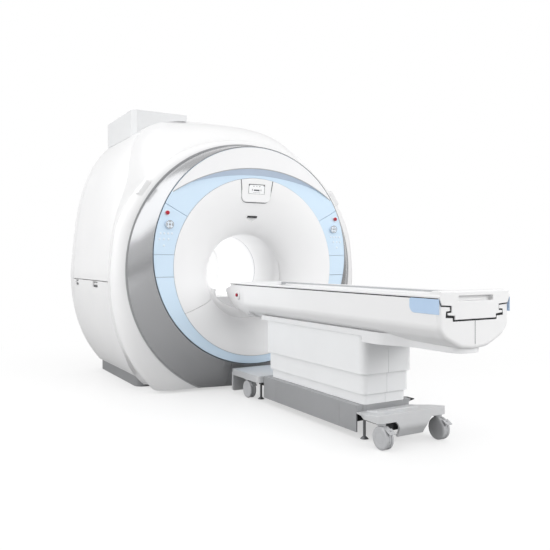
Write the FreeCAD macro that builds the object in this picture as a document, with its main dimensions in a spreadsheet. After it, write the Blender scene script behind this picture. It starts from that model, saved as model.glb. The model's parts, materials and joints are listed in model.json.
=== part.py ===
import FreeCAD, Part
import math
import os
import re
from FreeCAD import Placement, Rotation, Vector

# A magnetic resonance scanner: a drum-shaped gantry round a 60 cm bore, and a docked, height
# adjustable patient table on four casters. Millimetres. +Z is up, +Y runs from the table's free
# end into the bore, and the origin is on the floor under the middle of the object, below the
# bore's axis.

doc = FreeCAD.newDocument("mri_scanner")
sheet = doc.addObject("Spreadsheet::Sheet", "dims")

DIMENSIONS = {
    # gantry, front to back
    "face_y": 314, "mouth_y": 541, "throat_y": 640, "rim_y": 512, "shell_y": 560,
    "dome_end_y": 1230, "rear_seam_y": 1761, "back_y": 1880,
    # front face: three circles that are not concentric
    "disk_radius": 840, "disk_z": 1039, "funnel_radius": 688, "funnel_z": 948,
    "mouth_radius": 338, "mouth_z": 872, "bore_radius": 300, "bore_z": 915,
    "groove_radius": 998, "groove_z": 962, "rim_radius": 1124, "rim_z": 847,
    "visor_radius": 1247, "visor_z": 465, "visor_depth": 37,
    # body section: an egg-shaped drum
    "body_half": 1075, "body_z": 900, "body_rise": 1325, "body_drop": 1150,
    "body_square_top": 3.2, "body_square_low": 2.2, "body_taper": 0.09,
    "skin": 12, "seam": 3, "cover_low_z": 20, "body_low_z": 93,
    "side_seam_z": 840, "top_seam_z": 2062, "side_front_y": 630,
    # plinth and magnet
    "plinth_half": 795, "plinth_front_y": 830, "plinth_back_y": 1890, "plinth_rise": 92,
    "vessel_radius": 808, "vessel_front_y": 700, "vessel_back_y": 1700,
    "coil_outer": 440, "coil_inner": 345, "anchor_radius": 11,
    "anchor_x": 550, "anchor_front_y": 1000, "anchor_back_y": 1600,
    # cold head turret
    "turret_left": -736, "turret_right": -249, "turret_front_y": 1130, "turret_back_y": 1866,
    "turret_top": 2262, "turret_chamfer": 39, "vent_radius": 100,
    # buttons of the two control panels
    "stop_x": 740, "stop_z": 1344, "stop_head": 20, "stop_stem": 10,
    "jog_x": 724, "jog_z": 1259, "jog_head": 32, "jog_stem": 8, "guide_play": 0.05,
    # table beam and tabletop
    "beam_half": 240, "beam_top": 820, "beam_start_y": -1884, "crease_y": 80, "nose_y": 537,
    "hull_low_z": 568.5, "top_start_y": -1890, "top_end_y": 305, "top_rail_z": 834,
    # pedestal: three telescoping shrouds
    "ped_start_y": -1247, "ped_end_y": -150, "shroud_top_half": 185, "shroud_mid_half": 170,
    "shroud_low_half": 155, "shroud_wall": 6, "pan_half": 195, "pan_low_z": 580,
    "column_radius": 42, "column_back_y": -950, "column_front_y": -450,
    # base
    "skirt_half": 195, "plate_half": 245, "plate_top": 185, "plate_low": 140,
    "base_start_y": -1460, "base_end_y": 260,
    # casters
    "caster_x": 201.5, "caster_free_y": -1425, "caster_dock_y": 75, "caster_trail": 15,
    "wheel_radius": 62.5, "wheel_width": 19, "wheel_gap": 12,
}

for row, (alias, value) in enumerate(DIMENSIONS.items(), start=1):
    sheet.set(f"A{row}", alias)
    sheet.set(f"B{row}", str(value))
    sheet.setAlias(f"B{row}", alias)
doc.recompute()


def dim(alias):
    """A driving dimension's value, read from the sheet."""
    return float(sheet.get(alias))


def bind(target, path, value):
    """Give one property a formula in the sheet's aliases, or a plain number."""
    text = re.sub(r"[A-Za-z_]\w*", lambda m: f"dims.{m[0]}" if m[0] in DIMENSIONS else m[0], str(value))
    target.setExpression(path, text)


TO_Y = Rotation(Vector(1, 0, 0), -90)
TO_X = Rotation(Vector(0, 1, 0), 90)
TO_Z = Rotation()
TURN = {"x": TO_X, "y": TO_Y, "z": TO_Z}


def place(target, x, y, z, turn=TO_Z):
    target.Placement = Placement(Vector(0, 0, 0), turn)
    bind(target, "Placement.Base.x", x)
    bind(target, "Placement.Base.y", y)
    bind(target, "Placement.Base.z", z)
    return target


def box(name, x, y, z):
    """A box between three pairs of limits."""
    solid = doc.addObject("Part::Box", name)
    for side, (low, high) in (("Length", x), ("Width", y), ("Height", z)):
        bind(solid, side, f"({high}) - ({low})")
    return place(solid, x[0], y[0], z[0])


def tilted_box(name, corner, sizes, tilt):
    """A box turned back about the x axis through its lower front corner."""
    solid = doc.addObject("Part::Box", name)
    for side, value in zip(("Length", "Width", "Height"), sizes):
        bind(solid, side, value)
    return place(solid, *corner, Rotation(Vector(1, 0, 0), tilt))


def cylinder(name, radius, axis, start, end, first, second):
    """A cylinder along one axis, from start to end; first and second are its other two places."""
    solid = doc.addObject("Part::Cylinder", name)
    bind(solid, "Radius", radius)
    bind(solid, "Height", f"({end}) - ({start})")
    spot = {"x": (start, first, second), "y": (first, start, second), "z": (first, second, start)}
    return place(solid, *spot[axis], TURN[axis])


def cone(name, start_radius, end_radius, axis, start, end, first, second):
    solid = doc.addObject("Part::Cone", name)
    bind(solid, "Radius1", start_radius)
    bind(solid, "Radius2", end_radius)
    bind(solid, "Height", f"({end}) - ({start})")
    spot = {"x": (start, first, second), "y": (first, start, second), "z": (first, second, start)}
    return place(solid, *spot[axis], TURN[axis])


def ring_wire(name, radius, y, z):
    """A circle round the bore's direction, for a loft."""
    wire = doc.addObject("Part::Circle", name)
    bind(wire, "Radius", radius)
    return place(wire, 0, y, z, TO_Y)


def loft(name, wires, ruled=True):
    solid = doc.addObject("Part::Loft", name)
    solid.Sections = wires
    solid.Solid = True
    solid.Ruled = ruled
    return solid


def cut(name, base, *tools):
    for number, tool in enumerate(tools):
        step = doc.addObject("Part::Cut", name if number == len(tools) - 1 else f"{name}_less_{number}")
        step.Base = base
        step.Tool = tool
        base = step
    return base


def common(name, *shapes):
    solid = doc.addObject("Part::MultiCommon", name)
    solid.Shapes = list(shapes)
    return solid


def fuse(name, *shapes):
    solid = doc.addObject("Part::MultiFuse", name)
    solid.Shapes = list(shapes)
    solid.Refine = True
    return solid


def group(name, *shapes):
    """Separate solids of one node, such as a set of feet."""
    solid = doc.addObject("Part::Compound", name)
    solid.Links = list(shapes)
    return solid


def mirror(name, source):
    """The piece's other hand, across the plane of the bore's axis."""
    solid = doc.addObject("Part::Mirroring", name)
    solid.Source = source
    solid.Normal = Vector(1, 0, 0)
    return solid


def outline_wire(points):
    """A closed flat outline of (first, second, corner radius) points, corners as tangent arcs."""
    corners = []
    count = len(points)
    for number, (a, b, radius) in enumerate(points):
        here = Vector(a, b, 0)
        before = Vector(*points[number - 1][:2], 0)
        after = Vector(*points[(number + 1) % count][:2], 0)
        to_before, to_after = (before - here).normalize(), (after - here).normalize()
        if not radius:
            corners.append((here, None, here))
            continue
        half = to_before.getAngle(to_after) / 2
        reach = radius / math.tan(half)
        middle = here + (to_before + to_after).normalize() * (radius / math.sin(half) - radius)
        corners.append((here + to_before * reach, middle, here + to_after * reach))
    edges = []
    for number, (enter, middle, leave) in enumerate(corners):
        if middle is not None:
            edges.append(Part.Arc(enter, middle, leave).toShape())
        following = corners[(number + 1) % count][0]
        if (following - leave).Length > 1e-6:
            edges.append(Part.LineSegment(leave, following).toShape())
    return Part.Wire(edges)


# The flat outlines below are drawn in two axes: "x" in (y, z), "y" in (x, z), "z" in (x, y).
DRAWN = {
    "x": Rotation(Vector(0, 1, 0), Vector(0, 0, 1), Vector(1, 0, 0), "XYZ"),
    "y": Rotation(Vector(1, 0, 0), Vector(0, 0, 1), Vector(0, -1, 0), "XYZ"),
    "z": Rotation(),
}
ALONG = {"x": Vector(1, 0, 0), "y": Vector(0, 1, 0), "z": Vector(0, 0, 1)}


def prism(name, axis, start, end, points):
    """The outline carried along an axis from start to end."""
    drawn = doc.addObject("Part::Feature", f"{name}_outline")
    drawn.Shape = outline_wire([tuple(p) + (0,) * (3 - len(p)) for p in points])
    drawn.Placement = Placement(ALONG[axis] * start, DRAWN[axis])
    solid = doc.addObject("Part::Extrusion", name)
    solid.Base = drawn
    solid.DirMode = "Custom"
    solid.Dir = ALONG[axis]
    solid.LengthFwd = end - start
    solid.Solid = True
    return solid


def rounded(name, base, radius, chosen):
    """Round the edges that chosen() picks by their box's three sizes and its centre."""
    doc.recompute()
    picked = []
    for number, edge in enumerate(base.Shape.Edges, start=1):
        bounds = edge.BoundBox
        if chosen((bounds.XLength, bounds.YLength, bounds.ZLength), bounds.Center):
            picked.append((number, radius, radius))
    solid = doc.addObject("Part::Fillet", name)
    solid.Base = base
    solid.Edges = picked
    return solid


def upright(sizes, centre):
    return sizes[0] < 0.01 and sizes[1] < 0.01


NODES = {}


def node(name, solid):
    solid.Label = name
    NODES[name] = solid
    return solid


# ---------------------------------------------------------------- body outline and its skin
# Each section is drawn in (x, z) by its direction from the drum's middle. share runs from 0 at the
# round front rim to 1 at the full egg-shaped drum, which makes the domed shoulder between them.

OUTLINE_STEPS = 40


def drum_point(angle):
    """The full drum outline: two superellipse halves, the upper one narrowing upwards."""
    c, s = math.cos(angle), math.sin(angle)
    power = dim("body_square_top") if s >= 0 else dim("body_square_low")
    height = dim("body_rise") if s >= 0 else dim("body_drop")
    reach = ((abs(c) / dim("body_half")) ** power + (abs(s) / height) ** power) ** (-1 / power)
    narrowing = 1 - dim("body_taper") * max(0, reach * s / height)
    return reach * c * narrowing, reach * s


def front_reach(dx, dz):
    """Distance from the drum's middle to the rim's round outer edge, in a unit direction."""
    drop = dim("rim_z") - dim("body_z")
    return drop * dz + math.sqrt(dim("rim_radius") ** 2 - (drop * dx) ** 2)


def groove_reach(dx, dz):
    drop = dim("groove_z") - dim("body_z")
    return drop * dz + math.sqrt(dim("groove_radius") ** 2 - (drop * dx) ** 2)


def section(name, y, share, inset=0):
    """A smooth closed outline of the drum at y."""
    points = []
    for step in range(OUTLINE_STEPS):
        x, z = drum_point(2 * math.pi * (step + 0.5) / OUTLINE_STEPS)
        drum = math.hypot(x, z)
        dx, dz = x / drum, z / drum
        rim = min(front_reach(dx, dz), drum * 1.014)
        valley = 20 * (1 - share) * max(0, dz)
        reach = rim * (1 - share) + drum * share - valley - inset
        points.append(Vector(dx * reach, y, dz * reach + dim("body_z")))
    curve = Part.BSplineCurve()
    curve.interpolate(Points=points, PeriodicFlag=True, Parameters=list(range(OUTLINE_STEPS + 1)))
    drawn = doc.addObject("Part::Feature", name)
    drawn.Shape = Part.Wire([curve.toShape()])
    return drawn


def body_solid(name, inset, start, end):
    """The drum from its domed front to its straight back, drawn in by inset."""
    wires = []
    if start < dim("shell_y"):
        wires.append(section(f"{name}_0", start, 0, inset))
    for number, degrees in enumerate((0, 20, 40, 60, 90), start=1):
        turn = math.radians(degrees)
        y = dim("shell_y") + (dim("dome_end_y") - dim("shell_y")) * (1 - math.cos(turn))
        wires.append(section(f"{name}_{number}", y, math.sin(turn), inset))
    wires.append(section(f"{name}_end", end, 1, inset))
    return loft(name, wires)


FAR = 1300
low_front = box("below_covers", (-FAR, FAR), (0, 2000), (-400, "cover_low_z"))
low_body = box("below_body", (-FAR, FAR), ("plinth_front_y - 12", 2000), (-400, "body_low_z"))
drum = body_solid("drum", 0, dim("shell_y"), dim("rear_seam_y") - dim("seam"))
hollow = body_solid("drum_hollow", dim("skin"), dim("shell_y") - 20, dim("rear_seam_y") + 40)
skin = cut("drum_skin", drum, hollow, low_front, low_body)


def shoulder_seam(shift):
    """The seam between the shoulder and the side panels in (y, z), from the floor to the top."""
    y = dim("side_front_y") + shift
    return [(818 + shift, 0), (818 + shift, 95), (y, 300, 160), (y, 1600, 600), (1230 + shift, 2300)]


half_seam = dim("seam") / 2
ahead = prism("ahead_of_seam", "x", -FAR, FAR, shoulder_seam(-half_seam) + [(500, 2300), (500, 0)])
behind = prism("behind_seam", "x", -FAR, FAR, shoulder_seam(half_seam) + [(2000, 2300), (2000, 0)])
node("front_shoulder", common("front_shoulder", skin, ahead))

rear_skin = common("rear_skin", skin, behind)
left_low = box("left_low_zone", (-FAR, 0), (0, 2000), (0, "side_seam_z - seam / 2"))
left_high = box("left_high_zone", (-FAR, 0), (0, 2000), ("side_seam_z + seam / 2", "top_seam_z - seam"))
top_zone = box("top_zone", (-FAR, FAR), (0, 2000), ("top_seam_z", 2400))

# two finger recesses under the side seam, each a slot, a bar and a second slot, 8 mm deep
side_low_blank = common("side_low_blank", rear_skin, left_low)
recess_slots = []
for number, (middle, half) in enumerate(((1021, 62), (1618, 45))):
    for low, high in ((831, 839), (772, 790)):
        recess_slots.append(box(f"recess_{number}_{low}", (-FAR, "4 - body_half"),
                                (middle - half, middle + half), (low, high)))
side_low = node("side_lower_left", cut("side_low", side_low_blank, group("recesses", *recess_slots)))
side_high = node("side_upper_left", common("side_high", rear_skin, left_high))
node("side_lower_right", mirror("side_low_right", side_low_blank))
node("side_upper_right", mirror("side_high_right", side_high))
turret_hole = box("turret_hole", ("turret_left + 22", "turret_right - 22"),
                  ("turret_front_y + 22", "turret_back_y - 110"), (1800, 2400))
node("top_cover", cut("top_cover", common("top_blank", rear_skin, top_zone), turret_hole))

# ---------------------------------------------------------------- front rim
# A rounded white ring: thin on top, wide at the sides, from the groove out to the shoulder. Each
# section is an arch that stands on a straight foot just above the floor.

ARCH_STEPS = 48


def arch_section(name, y, share):
    """An outline at y between the groove circle (share 0) and the rim's outer edge (share 1)."""
    def arch_point(angle):
        dx, dz = math.cos(angle), math.sin(angle)
        x, z = drum_point(angle)
        drum_reach = math.hypot(x, z)
        dx, dz = x / drum_reach, z / drum_reach
        groove = groove_reach(dx, dz)
        rim = max(min(front_reach(dx, dz), drum_reach * 1.014), groove + 4)
        reach = groove * (1 - share) + rim * share
        return Vector(dx * reach, y, dz * reach + dim("body_z"))

    low, high = -math.pi / 2, 0
    for _ in range(40):
        middle = (low + high) / 2
        low, high = (middle, high) if arch_point(middle).z < dim("cover_low_z") else (low, middle)
    sweep = math.pi - 2 * high
    points = [arch_point(high + sweep * step / ARCH_STEPS) for step in range(ARCH_STEPS + 1)]
    for end in (0, -1):
        points[end].z = dim("cover_low_z")
    curve = Part.BSplineCurve()
    curve.interpolate(Points=points, Parameters=list(range(ARCH_STEPS + 1)))
    foot = Part.LineSegment(points[-1], points[0])
    drawn = doc.addObject("Part::Feature", name)
    drawn.Shape = Part.Wire([curve.toShape(), foot.toShape()])
    return drawn


rim_wires = []
for number, share in enumerate((0.004, 0.4, 0.7, 0.9, 1)):
    depth = 45 * (1 - math.sqrt(1 - share * share))
    rim_wires.append(arch_section(f"rim_{number}", dim("rim_y") + depth, share))
rim_hole = cylinder("rim_hole", "groove_radius + 4", "y", 400, 700, 0, "groove_z")
node("front_rim", cut("front_rim", loft("rim_blank", rim_wires), rim_hole))

# ---------------------------------------------------------------- rear cover with its flare

rear_wires = [section("rear_0", dim("rear_seam_y"), 1), section("rear_1", dim("back_y") - 30, 1),
              section("rear_2", dim("back_y") - 9, 1, 9), section("rear_3", dim("back_y"), 1, 30)]
rear_inner = [section("rear_in_0", dim("rear_seam_y") - 20, 1, 12),
              section("rear_in_1", dim("back_y") - 40, 1, 12),
              section("rear_in_2", dim("back_y") - 12, 1, 36)]
rear_shell = cut("rear_shell", loft("rear_blank", rear_wires), loft("rear_hollow", rear_inner))
flare_out = cone("flare_out", "bore_radius + 15", "bore_radius + 142", "y", 1660, "back_y", 0, "bore_z")
flare_in = cone("flare_in", "bore_radius + 4", "bore_radius + 132", "y", 1660, "back_y", 0, "bore_z")
node("rear_cover", cut("rear_cover", fuse("rear_body", rear_shell, flare_out), flare_in, low_body))

# ---------------------------------------------------------------- plinth, magnet and its parts

anchors = group("anchor_holes", *[
    cylinder(f"anchor_{number}", "anchor_radius", "z", -10, 200, x, y)
    for number, (x, y) in enumerate((x, y) for x in ("anchor_x", "-anchor_x")
                                    for y in ("anchor_front_y", "anchor_back_y"))])
plinth_block = box("plinth_block", ("-plinth_half", "plinth_half"),
                   ("plinth_front_y", "plinth_back_y"), (0, "plinth_rise"))
node("plinth", cut("plinth", rounded("plinth_round", plinth_block, 70, upright), anchors))

vessel_round = rounded(
    "vessel_round",
    cut("vessel_tube",
        cylinder("vessel_out", "vessel_radius", "y", "vessel_front_y", "vessel_back_y", 0, "bore_z"),
        cylinder("vessel_bore", "coil_outer + 8", "y", 600, 1800, 0, "bore_z")),
    60, lambda sizes, centre: sizes[0] > 1200)
vessel_void = cut("vessel_void",
                  cylinder("void_out", "vessel_radius - 25", "y", "vessel_front_y + 25",
                           "vessel_back_y - 25", 0, "bore_z"),
                  cylinder("void_core", "coil_outer + 33", "y", 600, 1800, 0, "bore_z"))
HEAD_X, HEAD_Y = -480, 1380
neck_hole = cylinder("neck_hole", 90, "z", 1300, 1700, HEAD_X, HEAD_Y)
node("vacuum_vessel", cut("vacuum_vessel", vessel_round, vessel_void, neck_hole))

feet = []
for number, (x0, x1) in enumerate(((-640, -460), (460, 640))):
    for y in ("anchor_front_y", "anchor_back_y"):
        feet.append(box(f"foot_{number}_{y[7]}", (x0, x1), (f"{y} - 70", f"{y} + 70"),
                        ("plinth_rise", 500)))
vessel_space = cylinder("vessel_space", "vessel_radius + 0.4", "y", 600, 1800, 0, "bore_z")
node("magnet_feet", cut("magnet_feet", group("foot_blocks", *feet), vessel_space, anchors))

node("gradient_coil", cut(
    "gradient_coil",
    cylinder("coil_body", "coil_outer", "y", 760, 1640, 0, "bore_z"),
    cylinder("coil_hole", "coil_inner", "y", 700, 1800, 0, "bore_z")))

cold_head = fuse(
    "cold_head_stack",
    cylinder("head_neck", 125, "z", 1450, 1700, HEAD_X, HEAD_Y),
    cylinder("head_flange", 155, "z", 1700, 1722, HEAD_X, HEAD_Y),
    cylinder("head_body", 78, "z", 1722, 2010, HEAD_X, HEAD_Y),
    cylinder("head_motor", 62, "z", 2010, 2190, HEAD_X, HEAD_Y))
node("cold_head", cut("cold_head", cold_head, vessel_space))

# ---------------------------------------------------------------- turret cover over the cold head

left, right = dim("turret_left"), dim("turret_right")
front, back, chamfer = dim("turret_front_y"), dim("turret_back_y"), dim("turret_chamfer")
turret_out = prism("turret_out", "z", 1900, dim("turret_top"), [
    (left, front + chamfer), (left + chamfer, front), (right, front), (right, back), (left, back)])
turret_in = box("turret_in", ("turret_left + 10", "turret_right - 10"),
                ("turret_front_y + 34", "turret_back_y - 10"), (1800, "turret_top - 12"))
vent = cylinder("vent", "vent_radius", "z", 2200, 2300, HEAD_X, 1650)
turret_foot = body_solid("turret_foot", -1, dim("shell_y"), dim("back_y") + 20)
node("turret_cover", cut("turret_cover", turret_out, turret_in, vent, turret_foot))

# ---------------------------------------------------------------- bore liner and its bridge


def tapered_tube(name, wall, rings):
    """A thin wall lofted through (radius, y, z of the centre) circles."""
    outer = loft(f"{name}_outer", [ring_wire(f"{name}_o{n}", f"{r} + {wall}", y, z)
                                   for n, (r, y, z) in enumerate(rings)])
    inner = loft(f"{name}_inner", [ring_wire(f"{name}_i{n}", r, y, z)
                                   for n, (r, y, z) in enumerate(rings)])
    return outer, inner


THROAT = [("mouth_radius", "mouth_y", "mouth_z"), (320, 556, 887), (307, 585, 903),
          ("bore_radius", "throat_y", "bore_z")]
throat_out, throat_in = tapered_tube("throat", 7, THROAT)
tube_out = cylinder("tube_out", "bore_radius + 7", "y", "throat_y", 1656, 0, "bore_z")
tube_in = cylinder("tube_in", "bore_radius", "y", "throat_y", 1700, 0, "bore_z")
seam_ring = cylinder("liner_seam", "bore_radius + 2", "y", 908, 911, 0, "bore_z")
node("bore_liner", cut("bore_liner", fuse("liner_solid", throat_out, tube_out),
                       throat_in, tube_in, seam_ring))

bridge_disc = cylinder("bridge_disc", "bore_radius - 0.5", "y", 642, 1650, 0, "bore_z")
bridge_trough = prism("bridge_trough", "y", 600, 1700, [
    (-300, 1300), (-300, 770), (-200, 770), (-200, 705), (200, 705), (200, 770), (300, 770), (300, 1300)])
node("bore_bridge", cut("bore_bridge", bridge_disc, bridge_trough))

# ---------------------------------------------------------------- funnel, in two mouldings
# A trumpet from the blue ring to the bore, its circles drifting down with the bore's centre.

FUNNEL = [("funnel_radius", "face_y - 2", "funnel_z"), (560, 341, 920), (444, 397, 895),
          (385, 455, 882), ("mouth_radius", "mouth_y", "mouth_z")]


def funnel_loft(name, rings):
    return loft(name, [ring_wire(f"{name}_{n}", *ring) for n, ring in enumerate(rings)], ruled=False)


funnel_air = funnel_loft("funnel_air", FUNNEL)
funnel_back = funnel_loft("funnel_back", [("funnel_radius + 2", "face_y + 10", "funnel_z"),
                                          *[(f"{r} + 5", f"{y} + 8", z) for r, y, z in FUNNEL[1:]]])
funnel_edge = cylinder("funnel_edge", "funnel_radius + 2", "y", "face_y - 2", "face_y + 10", 0, "funnel_z")
beyond_mouth = box("beyond_mouth", (-500, 500), ("mouth_y - 2", 600), (400, 1400))
funnel_wall = cut("funnel_wall", fuse("funnel_outer", funnel_back, funnel_edge), funnel_air, beyond_mouth)
# the mouldings meet on a line that falls outwards from the bore on both sides
below_line = prism("below_line", "y", 250, 620, [
    (-800, 544), (0, 799), (800, 544), (800, 100), (-800, 100)])
below_line_gap = prism("below_line_gap", "y", 250, 620, [
    (-800, 547), (0, 802), (800, 547), (800, 100), (-800, 100)])
node("funnel_lower", common("funnel_lower", funnel_wall, below_line))

# display at the top of the funnel, let into it, and the dark window of the marker light under it


def housing_prism(name, start, end, grow):
    return prism(name, "y", start, end, [
        (-141 - grow, 1650), (141 + grow, 1650),
        (122 + grow, 1454 - grow, 42 + grow), (-122 - grow, 1454 - grow, 42 + grow)])


before_face = prism("before_face", "x", -200, 200, [(250, 1760), (305, 1670), (330, 1440), (250, 1440)])
FACE_TILT, WALL_TILT = 6.2, 28
housing_edge = cylinder("housing_edge", "funnel_radius", "y", 290, 400, 0, "funnel_z")
housing_cut = cut("housing_cut", common("housing_blank", housing_prism("housing_block", 300, 372, 0),
                                        housing_edge), before_face)
housing_round = rounded("housing_round", housing_cut, 5, lambda sizes, c: c.y < 345 and c.z < 1600)
screen_recess = tilted_box("screen_recess", (-72.5, 312, 1515), (145, 16, 77), FACE_TILT)
node("display_housing", cut("display_housing", housing_round, screen_recess))
node("display_screen", tilted_box("display_screen", (-72, 322.8, 1516.8), (144, 5, 76), FACE_TILT))
window = node("marker_window", tilted_box("marker_window", (-43, 396.5, 1336), (86, 7, 15), WALL_TILT))
node("funnel_upper", cut("funnel_upper", funnel_wall, below_line_gap,
                         housing_prism("housing_gap", 290, 400, 1.5), window))

# ---------------------------------------------------------------- silver band and dock panel

band_out = loft("band_out", [ring_wire("band_o0", "disk_radius + 9", "face_y + 2", "disk_z"),
                             ring_wire("band_o1", "groove_radius", "rim_y - 4", "groove_z")])
band_in = loft("band_in", [ring_wire("band_i0", "disk_radius + 0.6", "face_y + 2", "disk_z"),
                           ring_wire("band_i1", "groove_radius - 16", "rim_y - 4", "groove_z")])
band = cut("band", band_out, band_in, low_front)
DOCK_HALF = 215
dock_zone = box("dock_zone", (-DOCK_HALF, DOCK_HALF), (300, 600), (0, 400))
dock_gap = box("dock_gap", (-DOCK_HALF - 3, DOCK_HALF + 3), (300, 600), (0, 400))
node("dock_panel", common("dock_panel", band, dock_zone))
node("silver_band", cut("silver_band", band, dock_gap))

# ---------------------------------------------------------------- blue ring, control panels, visor

plate = cut("ring_plate",
            cylinder("plate_disk", "disk_radius", "y", "face_y", "face_y + 14", 0, "disk_z"),
            cylinder("plate_hole", "funnel_radius + 3", "y", 300, 350, 0, "funnel_z"))
UPPER_SEAM = 0.5433
top_zone_ring = prism("top_ring_zone", "y", 250, 400, [
    (0, 1006), (-900, 1006 + 900 * UPPER_SEAM), (-900, 2000), (900, 2000), (900, 1006 + 900 * UPPER_SEAM)])
visor_cone = cone("visor_cone", "disk_radius", "disk_radius - 167", "y",
                  "face_y", "face_y - visor_depth", 0, "disk_z")
visor_cone.Placement = Placement(Vector(0, 0, 0), Rotation(Vector(1, 0, 0), 90))
bind(visor_cone, "Height", "visor_depth")
bind(visor_cone, "Placement.Base.y", "face_y")
bind(visor_cone, "Placement.Base.z", "disk_z")
visor_arc = cylinder("visor_arc", "visor_radius", "y", 200, "face_y", 0, "visor_z")
node("visor", cut("visor", visor_cone, visor_arc))
cove = loft("cove", [ring_wire("cove_front", "visor_radius", "face_y - visor_depth", "visor_z"),
                     ring_wire("cove_back", 1850, "face_y", -190)])
cove_wedge = cut("cove_wedge", common("cove_blank", visor_cone, visor_arc), cove)
node("ring_top", fuse("ring_top", common("ring_top_plate", plate, top_zone_ring),
                      common("cove_part", cove_wedge, top_zone_ring)))
node("ring_bottom", common("ring_bottom", plate, box("ring_low_zone", (-900, 900), (250, 400), (0, 877))))

panel_zone = prism("panel_zone", "y", 250, 400, [
    (-300, 1003 + 300 * UPPER_SEAM), (-900, 1003 + 900 * UPPER_SEAM), (-900, 880), (-300, 880)])
key_spots = [(-789, 1194.5), (-760, 1194.5), (-732, 1194.5), (-703, 1194.5),
             (-798, 1153), (-764, 1153), (-730, 1153), (-764, 1106)]
keys = [cylinder(f"key_{n}", 8.5, "y", "face_y - 3", "face_y + 2", x, z)
        for n, (x, z) in enumerate(key_spots)]
collar = cylinder("stop_collar", "stop_head + 5", "y", "face_y - 5", "face_y + 2", "-stop_x", "stop_z")
stop_guide = cylinder("stop_guide", "stop_stem + guide_play", "y", 290, 340, "-stop_x", "stop_z")
jog_guide = cylinder("jog_guide", "jog_stem + guide_play", "y", 290, 340, "-jog_x", "jog_z")
panel_line = box("panel_line", (-900, -300), ("face_y - 1", "face_y + 2"), (1039, 1041))
panel = cut("panel_left_solid", fuse("panel_blank", common("panel_plate", plate, panel_zone), collar, *keys),
            stop_guide, jog_guide, panel_line)
node("panel_left", panel)
node("panel_right", mirror("panel_right_solid", panel))


def push_button(name, head, stem, x, z, proud):
    """A round head on a stem that slides in the panel."""
    solid = fuse(name,
                 cylinder(f"{name}_head", head, "y", f"face_y - {proud} - 10", f"face_y - {proud}", x, z),
                 cylinder(f"{name}_stem", stem, "y", f"face_y - {proud} - 2", "face_y + 12", x, z))
    return node(name, rounded(f"{name}_edge", solid, 3, lambda sizes, c: sizes[0] > 30 and c.y < 300))


for side, sign in (("left", "-"), ("right", "")):
    push_button(f"stop_{side}", "stop_head", "stop_stem", f"{sign}stop_x", "stop_z", 12)
    push_button(f"jog_{side}", "jog_head", "jog_stem", f"{sign}jog_x", "jog_z", 6)

# ---------------------------------------------------------------- table beam
# A boat-shaped hull with a T-shaped channel along its top, in which the tabletop's keel runs.

beam, beam_top = dim("beam_half"), dim("beam_top")
HULL = [(-beam, beam_top), (-beam, 676, 60), (-198, 628, 90), (-95, 578, 120),
        (0, dim("hull_low_z")),
        (95, 578, 120), (198, 628, 90), (beam, 676, 60), (beam, beam_top)]
CHANNEL = [(-260, 840), (-beam, beam_top), (-226, 787), (-164, 782.5), (-164, 756), (-188.5, 755),
           (-188.5, 738), (-143, 734.5), (-143, 715)]
CHANNEL = CHANNEL + [(-x, z) for x, z in reversed(CHANNEL)]
KEEL = [(-beam, 822.5), (-226, 789.5), (-161.5, 785), (-161.5, 753), (-186, 752.3), (-186, 741),
        (-140.5, 737), (-140.5, 717.5)]


def hull(name, start, end, grow=0.0):
    """The hull's section, grown outwards by a little where something seats on it."""
    points = []
    for x, z, *radius in HULL:
        side = (x > 0) - (x < 0)
        points.append((x + side * grow, z - (grow if z < 800 else -grow), *radius))
    return prism(name, "y", start, end, points)


channel = prism("channel", "y", -2000, 700, CHANNEL)
cavity = prism("beam_cavity", "y", -1866, dim("crease_y") + 1, [
    (-226, 700), (-226, 684, 20), (-190, 640, 60), (-92, 592, 110), (92, 592, 110), (190, 640, 60),
    (226, 684, 20), (226, 700)])
end_seam = box("end_seam", (-1, 1), ("beam_start_y - 1", "beam_start_y + 3"), (560, 715))
beam_block = rounded("beam_round", hull("beam_hull", dim("beam_start_y"), dim("crease_y")), 22,
                     lambda sizes, c: sizes[0] < 0.1 and sizes[1] < 0.1 and abs(c.x) > 239 and c.y < -1800)
node("table_beam", cut("table_beam", beam_block, channel, cavity, end_seam))

# nose: a bow drawn through sections that grow shorter and narrower. Each station is y, half width,
# underside, top and how square the section is.
BOW = [(dim("crease_y"), 239, 571, 820, 3.1), (190, 239, 573, 820, 3.1), (290, 236, 588, 820, 3),
       (378, 227, 616, 820, 2.9), (446, 207, 650, 818.5, 2.7), (492, 182, 684, 814, 2.6),
       (522, 150, 713, 807, 2.4), (dim("nose_y"), 108, 742, 796, 2.2)]
bow_wires = []
for number, (y, half, low, top, square) in enumerate(BOW):
    points = []
    for step in range(25):
        turn = math.pi * step / 24
        across, down = math.cos(turn), math.sin(turn)
        x = math.copysign(half * abs(across) ** (2 / square), across)
        points.append(Vector(x, y, top - (top - low) * abs(down) ** (2 / square)))
    curve = Part.BSplineCurve()
    curve.interpolate(Points=points, Parameters=list(range(25)))
    drawn = doc.addObject("Part::Feature", f"bow_{number}")
    drawn.Shape = Part.Wire([curve.toShape(), Part.LineSegment(points[-1], points[0]).toShape()])
    bow_wires.append(drawn)
bow_blank = loft("bow_blank", bow_wires)
STOP_Y, STOP_Z = 176, 743
table_stop_guide = cylinder("table_stop_guide", "stop_stem + guide_play", "x", -260, -200, STOP_Y, STOP_Z)
stop_bezel = cylinder("stop_bezel", 34, "x", -243, -230, STOP_Y, STOP_Z)
node("nose_cap", cut("nose_cap", fuse("nose_with_bezel", bow_blank, stop_bezel), channel, table_stop_guide))

stop_button = fuse("table_stop_solid",
                   cylinder("table_stop_head", 19, "x", -256, -249, STOP_Y, STOP_Z),
                   cylinder("table_stop_stem", "stop_stem", "x", -250, -216, STOP_Y, STOP_Z))
node("table_stop", rounded("table_stop_round", stop_button, 2.5, lambda sizes, c: c.x < -255.9))

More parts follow.
